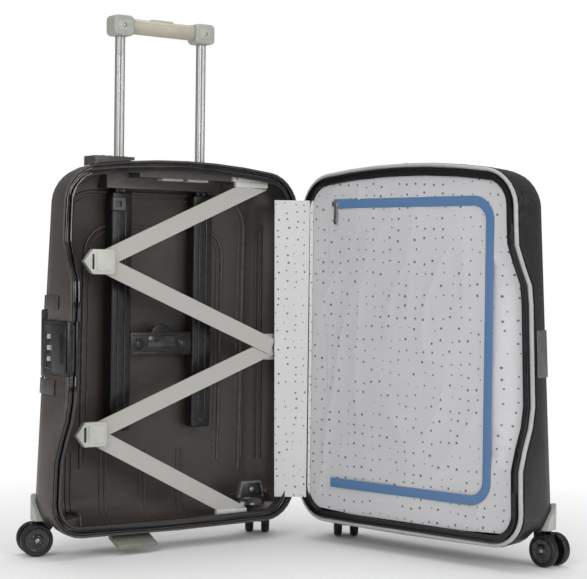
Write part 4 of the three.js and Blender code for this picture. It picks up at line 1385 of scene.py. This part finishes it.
def make_wheel(node, axle):
    low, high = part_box(node)
    centre = (low + high) / 2
    tyre = aim(spin_solid(node + "_tyre", TYRE, 64), centre, axle)
    wear(tyre, WHEEL_BLACK, node, "wheel", node)
    disc = aim(spin_solid(node + "_disc", DISC, 64), centre, axle)
    wear(disc, HUB_GLOSS, node, "wheel")
    spokes = []
    for k in range(8):
        arm = box("arm", mm(8.2, -0.9, 3.9), mm(15.6, 0.9, 5.1), 0.4)
        arm.data.transform(Matrix.Rotation(2 * math.pi * k / 8, 4, "Z"))
        spokes.append(arm)
    web = aim(joined(node + "_spokes", spokes), centre, axle)
    wear(web, HUB_GLOSS, node, "wheel")
    for k, aside in enumerate((-0.0032, 0.0032)):
        bead = ring(f"{node}_tread_{k + 1}", centre + axle * aside, axle, 21.6, 0.75)
        wear(bead, WHEEL_BLACK, node, "wheel")


def make_casters():
    for place, (heading, turned) in CASTERS.items():
        body = "caster_" + place
        fork = body + "_fork"
        dress(fork, fork + "_moulding", SATIN_BLACK, body, "black_plastic", 0.9, 3)
        way = math.radians(heading + turned)
        sideways = Vector((-math.sin(way), math.cos(way), 0))
        hubs = []
        for side, sign in (("left", 1), ("right", -1)):
            node = f"caster_{place}_wheel_{side}"
            axle = sideways * sign
            make_wheel(node, axle)
            low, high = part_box(node)
            hubs.append((low + high) / 2)
            screw(f"{node}_hub_screw", hubs[-1] + axle * 0.0052, axle, 3.1, body)
        forward = Vector((math.cos(way), math.sin(way), 0))
        pivot = sum(hubs, Vector()) / 2 - forward * TRAIL * MM
        collar = spin_solid(
            f"caster_{place}_collar",
            [(0, 46.2), (14.6, 46.2), (15.4, 47.0), (15.4, 48.6), (14.4, 49.3), (0, 49.3)],
            40,
        )
        collar.data.transform(Matrix.Translation((pivot.x, pivot.y, 0)))
        wear(collar, HUB_GLOSS, body, "black_plastic")


def make_wheel_covers():
    for place, (_, turned) in CASTERS.items():
        node = "wheel_cover_" + place
        body = "lid" if turned else "back_case"
        dress(node, node + "_cap", PALE_GREY, body, "grey_plastic", 1.2, 3)


def make_hinge():
    dress("hinge_leaf_back", "hinge_back_leaf", SATIN_BLACK, "back_case", "black_plastic", 0.3)
    dress("hinge_leaf_lid", "hinge_lid_leaf", SATIN_BLACK, "lid", "black_plastic", 0.3)
    dress("hinge_pin", "hinge_rod", STEEL, "back_case", "steel", 0.2)


# ---------- stage, light and camera ----------
def make_stage():
    clear()
    bpy.ops.mesh.primitive_plane_add(size=16)
    floor = named("studio_floor")
    material, g, shader = new_material("studio_white")
    g.feed(shader, "Base Color", g.mix(g.noise(g.place(), 2.0), shade("f4f4f4"), shade("f8f8f8")))
    shader.inputs["Roughness"].default_value = 0.9
    apart = g.node("SeparateXYZ", {0: g.place()}).outputs
    far = g.math("SQRT", g.math("ADD", g.math("POWER", apart[0], 2.0), g.math("POWER", apart[1], 2.0)))
    seen = g.node("LightPath").outputs["Is Camera Ray"]
    glow = g.node("Emission", {0: (1, 1, 1, 1), 1: 1.0}).outputs[0]
    share = g.math("MULTIPLY", seen, g.spread(far, 0.3, 0.95))
    faded = g.node("MixShader", {0: share, 1: shader.outputs[0], 2: glow}).outputs[0]
    g.tree.links.new(faded, material.node_tree.nodes["Material Output"].inputs["Surface"])
    floor.data.materials.append(material)
    world = bpy.data.worlds.new("studio")
    bpy.context.scene.world = world
    world.use_nodes = True
    g = Graph(world.node_tree)
    seen = g.node("LightPath").outputs["Is Camera Ray"]
    mirrored = g.math("MULTIPLY", g.node("LightPath").outputs["Is Glossy Ray"], -0.24)
    strength = g.math("ADD", g.spread(seen, 0, 1, 0.5, 1.0), mirrored)
    g.feed(world.node_tree.nodes["Background"], "Strength", strength)
    world.node_tree.nodes["Background"].inputs["Color"].default_value = (1, 1, 1, 1)


def add_light(name, place, target, size, power):
    data = bpy.data.lights.new(name, "AREA")
    data.shape = "RECTANGLE"
    data.size, data.size_y = size
    data.energy = power
    light = bpy.data.objects.new(name, data)
    bpy.context.collection.objects.link(light)
    light.location = place
    light.rotation_euler = (Vector(target) - Vector(place)).to_track_quat("-Z", "Y").to_euler()


def make_lights():
    middle = (0, 0, 0.3)
    add_light("key_softbox", (-2.4, -1.6, 1.9), middle, (1.4, 1.4), 30)
    add_light("front_softbox", (0.4, -2.8, 1.2), middle, (1.2, 1.6), 22)
    add_light("top_softbox", (0.2, 0.4, 2.4), middle, (1.8, 1.8), 20)


def make_camera():
    data = bpy.data.cameras.new("studio_camera")
    data.lens = 99.87
    camera = bpy.data.objects.new("studio_camera", data)
    bpy.context.collection.objects.link(camera)
    camera.matrix_world = (
        Matrix.Translation((-1.2858, -1.7934, 0.3947))
        @ Matrix.Rotation(math.radians(-35.8), 4, "Z")
        @ Matrix.Rotation(math.radians(89.3), 4, "X")
        @ Matrix.Rotation(0.0128, 4, "Z")
    )
    bpy.context.scene.camera = camera
    bpy.context.scene.view_settings.view_transform = "Standard"


make_camera()
make_lights()
make_stage()
make_shells()
make_inner_relief()
make_outer_relief()
make_corner_plate()
make_straps()
make_lining()
make_zip()
make_puller()
make_lining_seams()
make_flap()
make_tubes()
make_grip()
make_covers()
make_dials()
make_lock()
make_latches()
make_handles()
make_wheel_covers()
make_hinge()
make_casters()
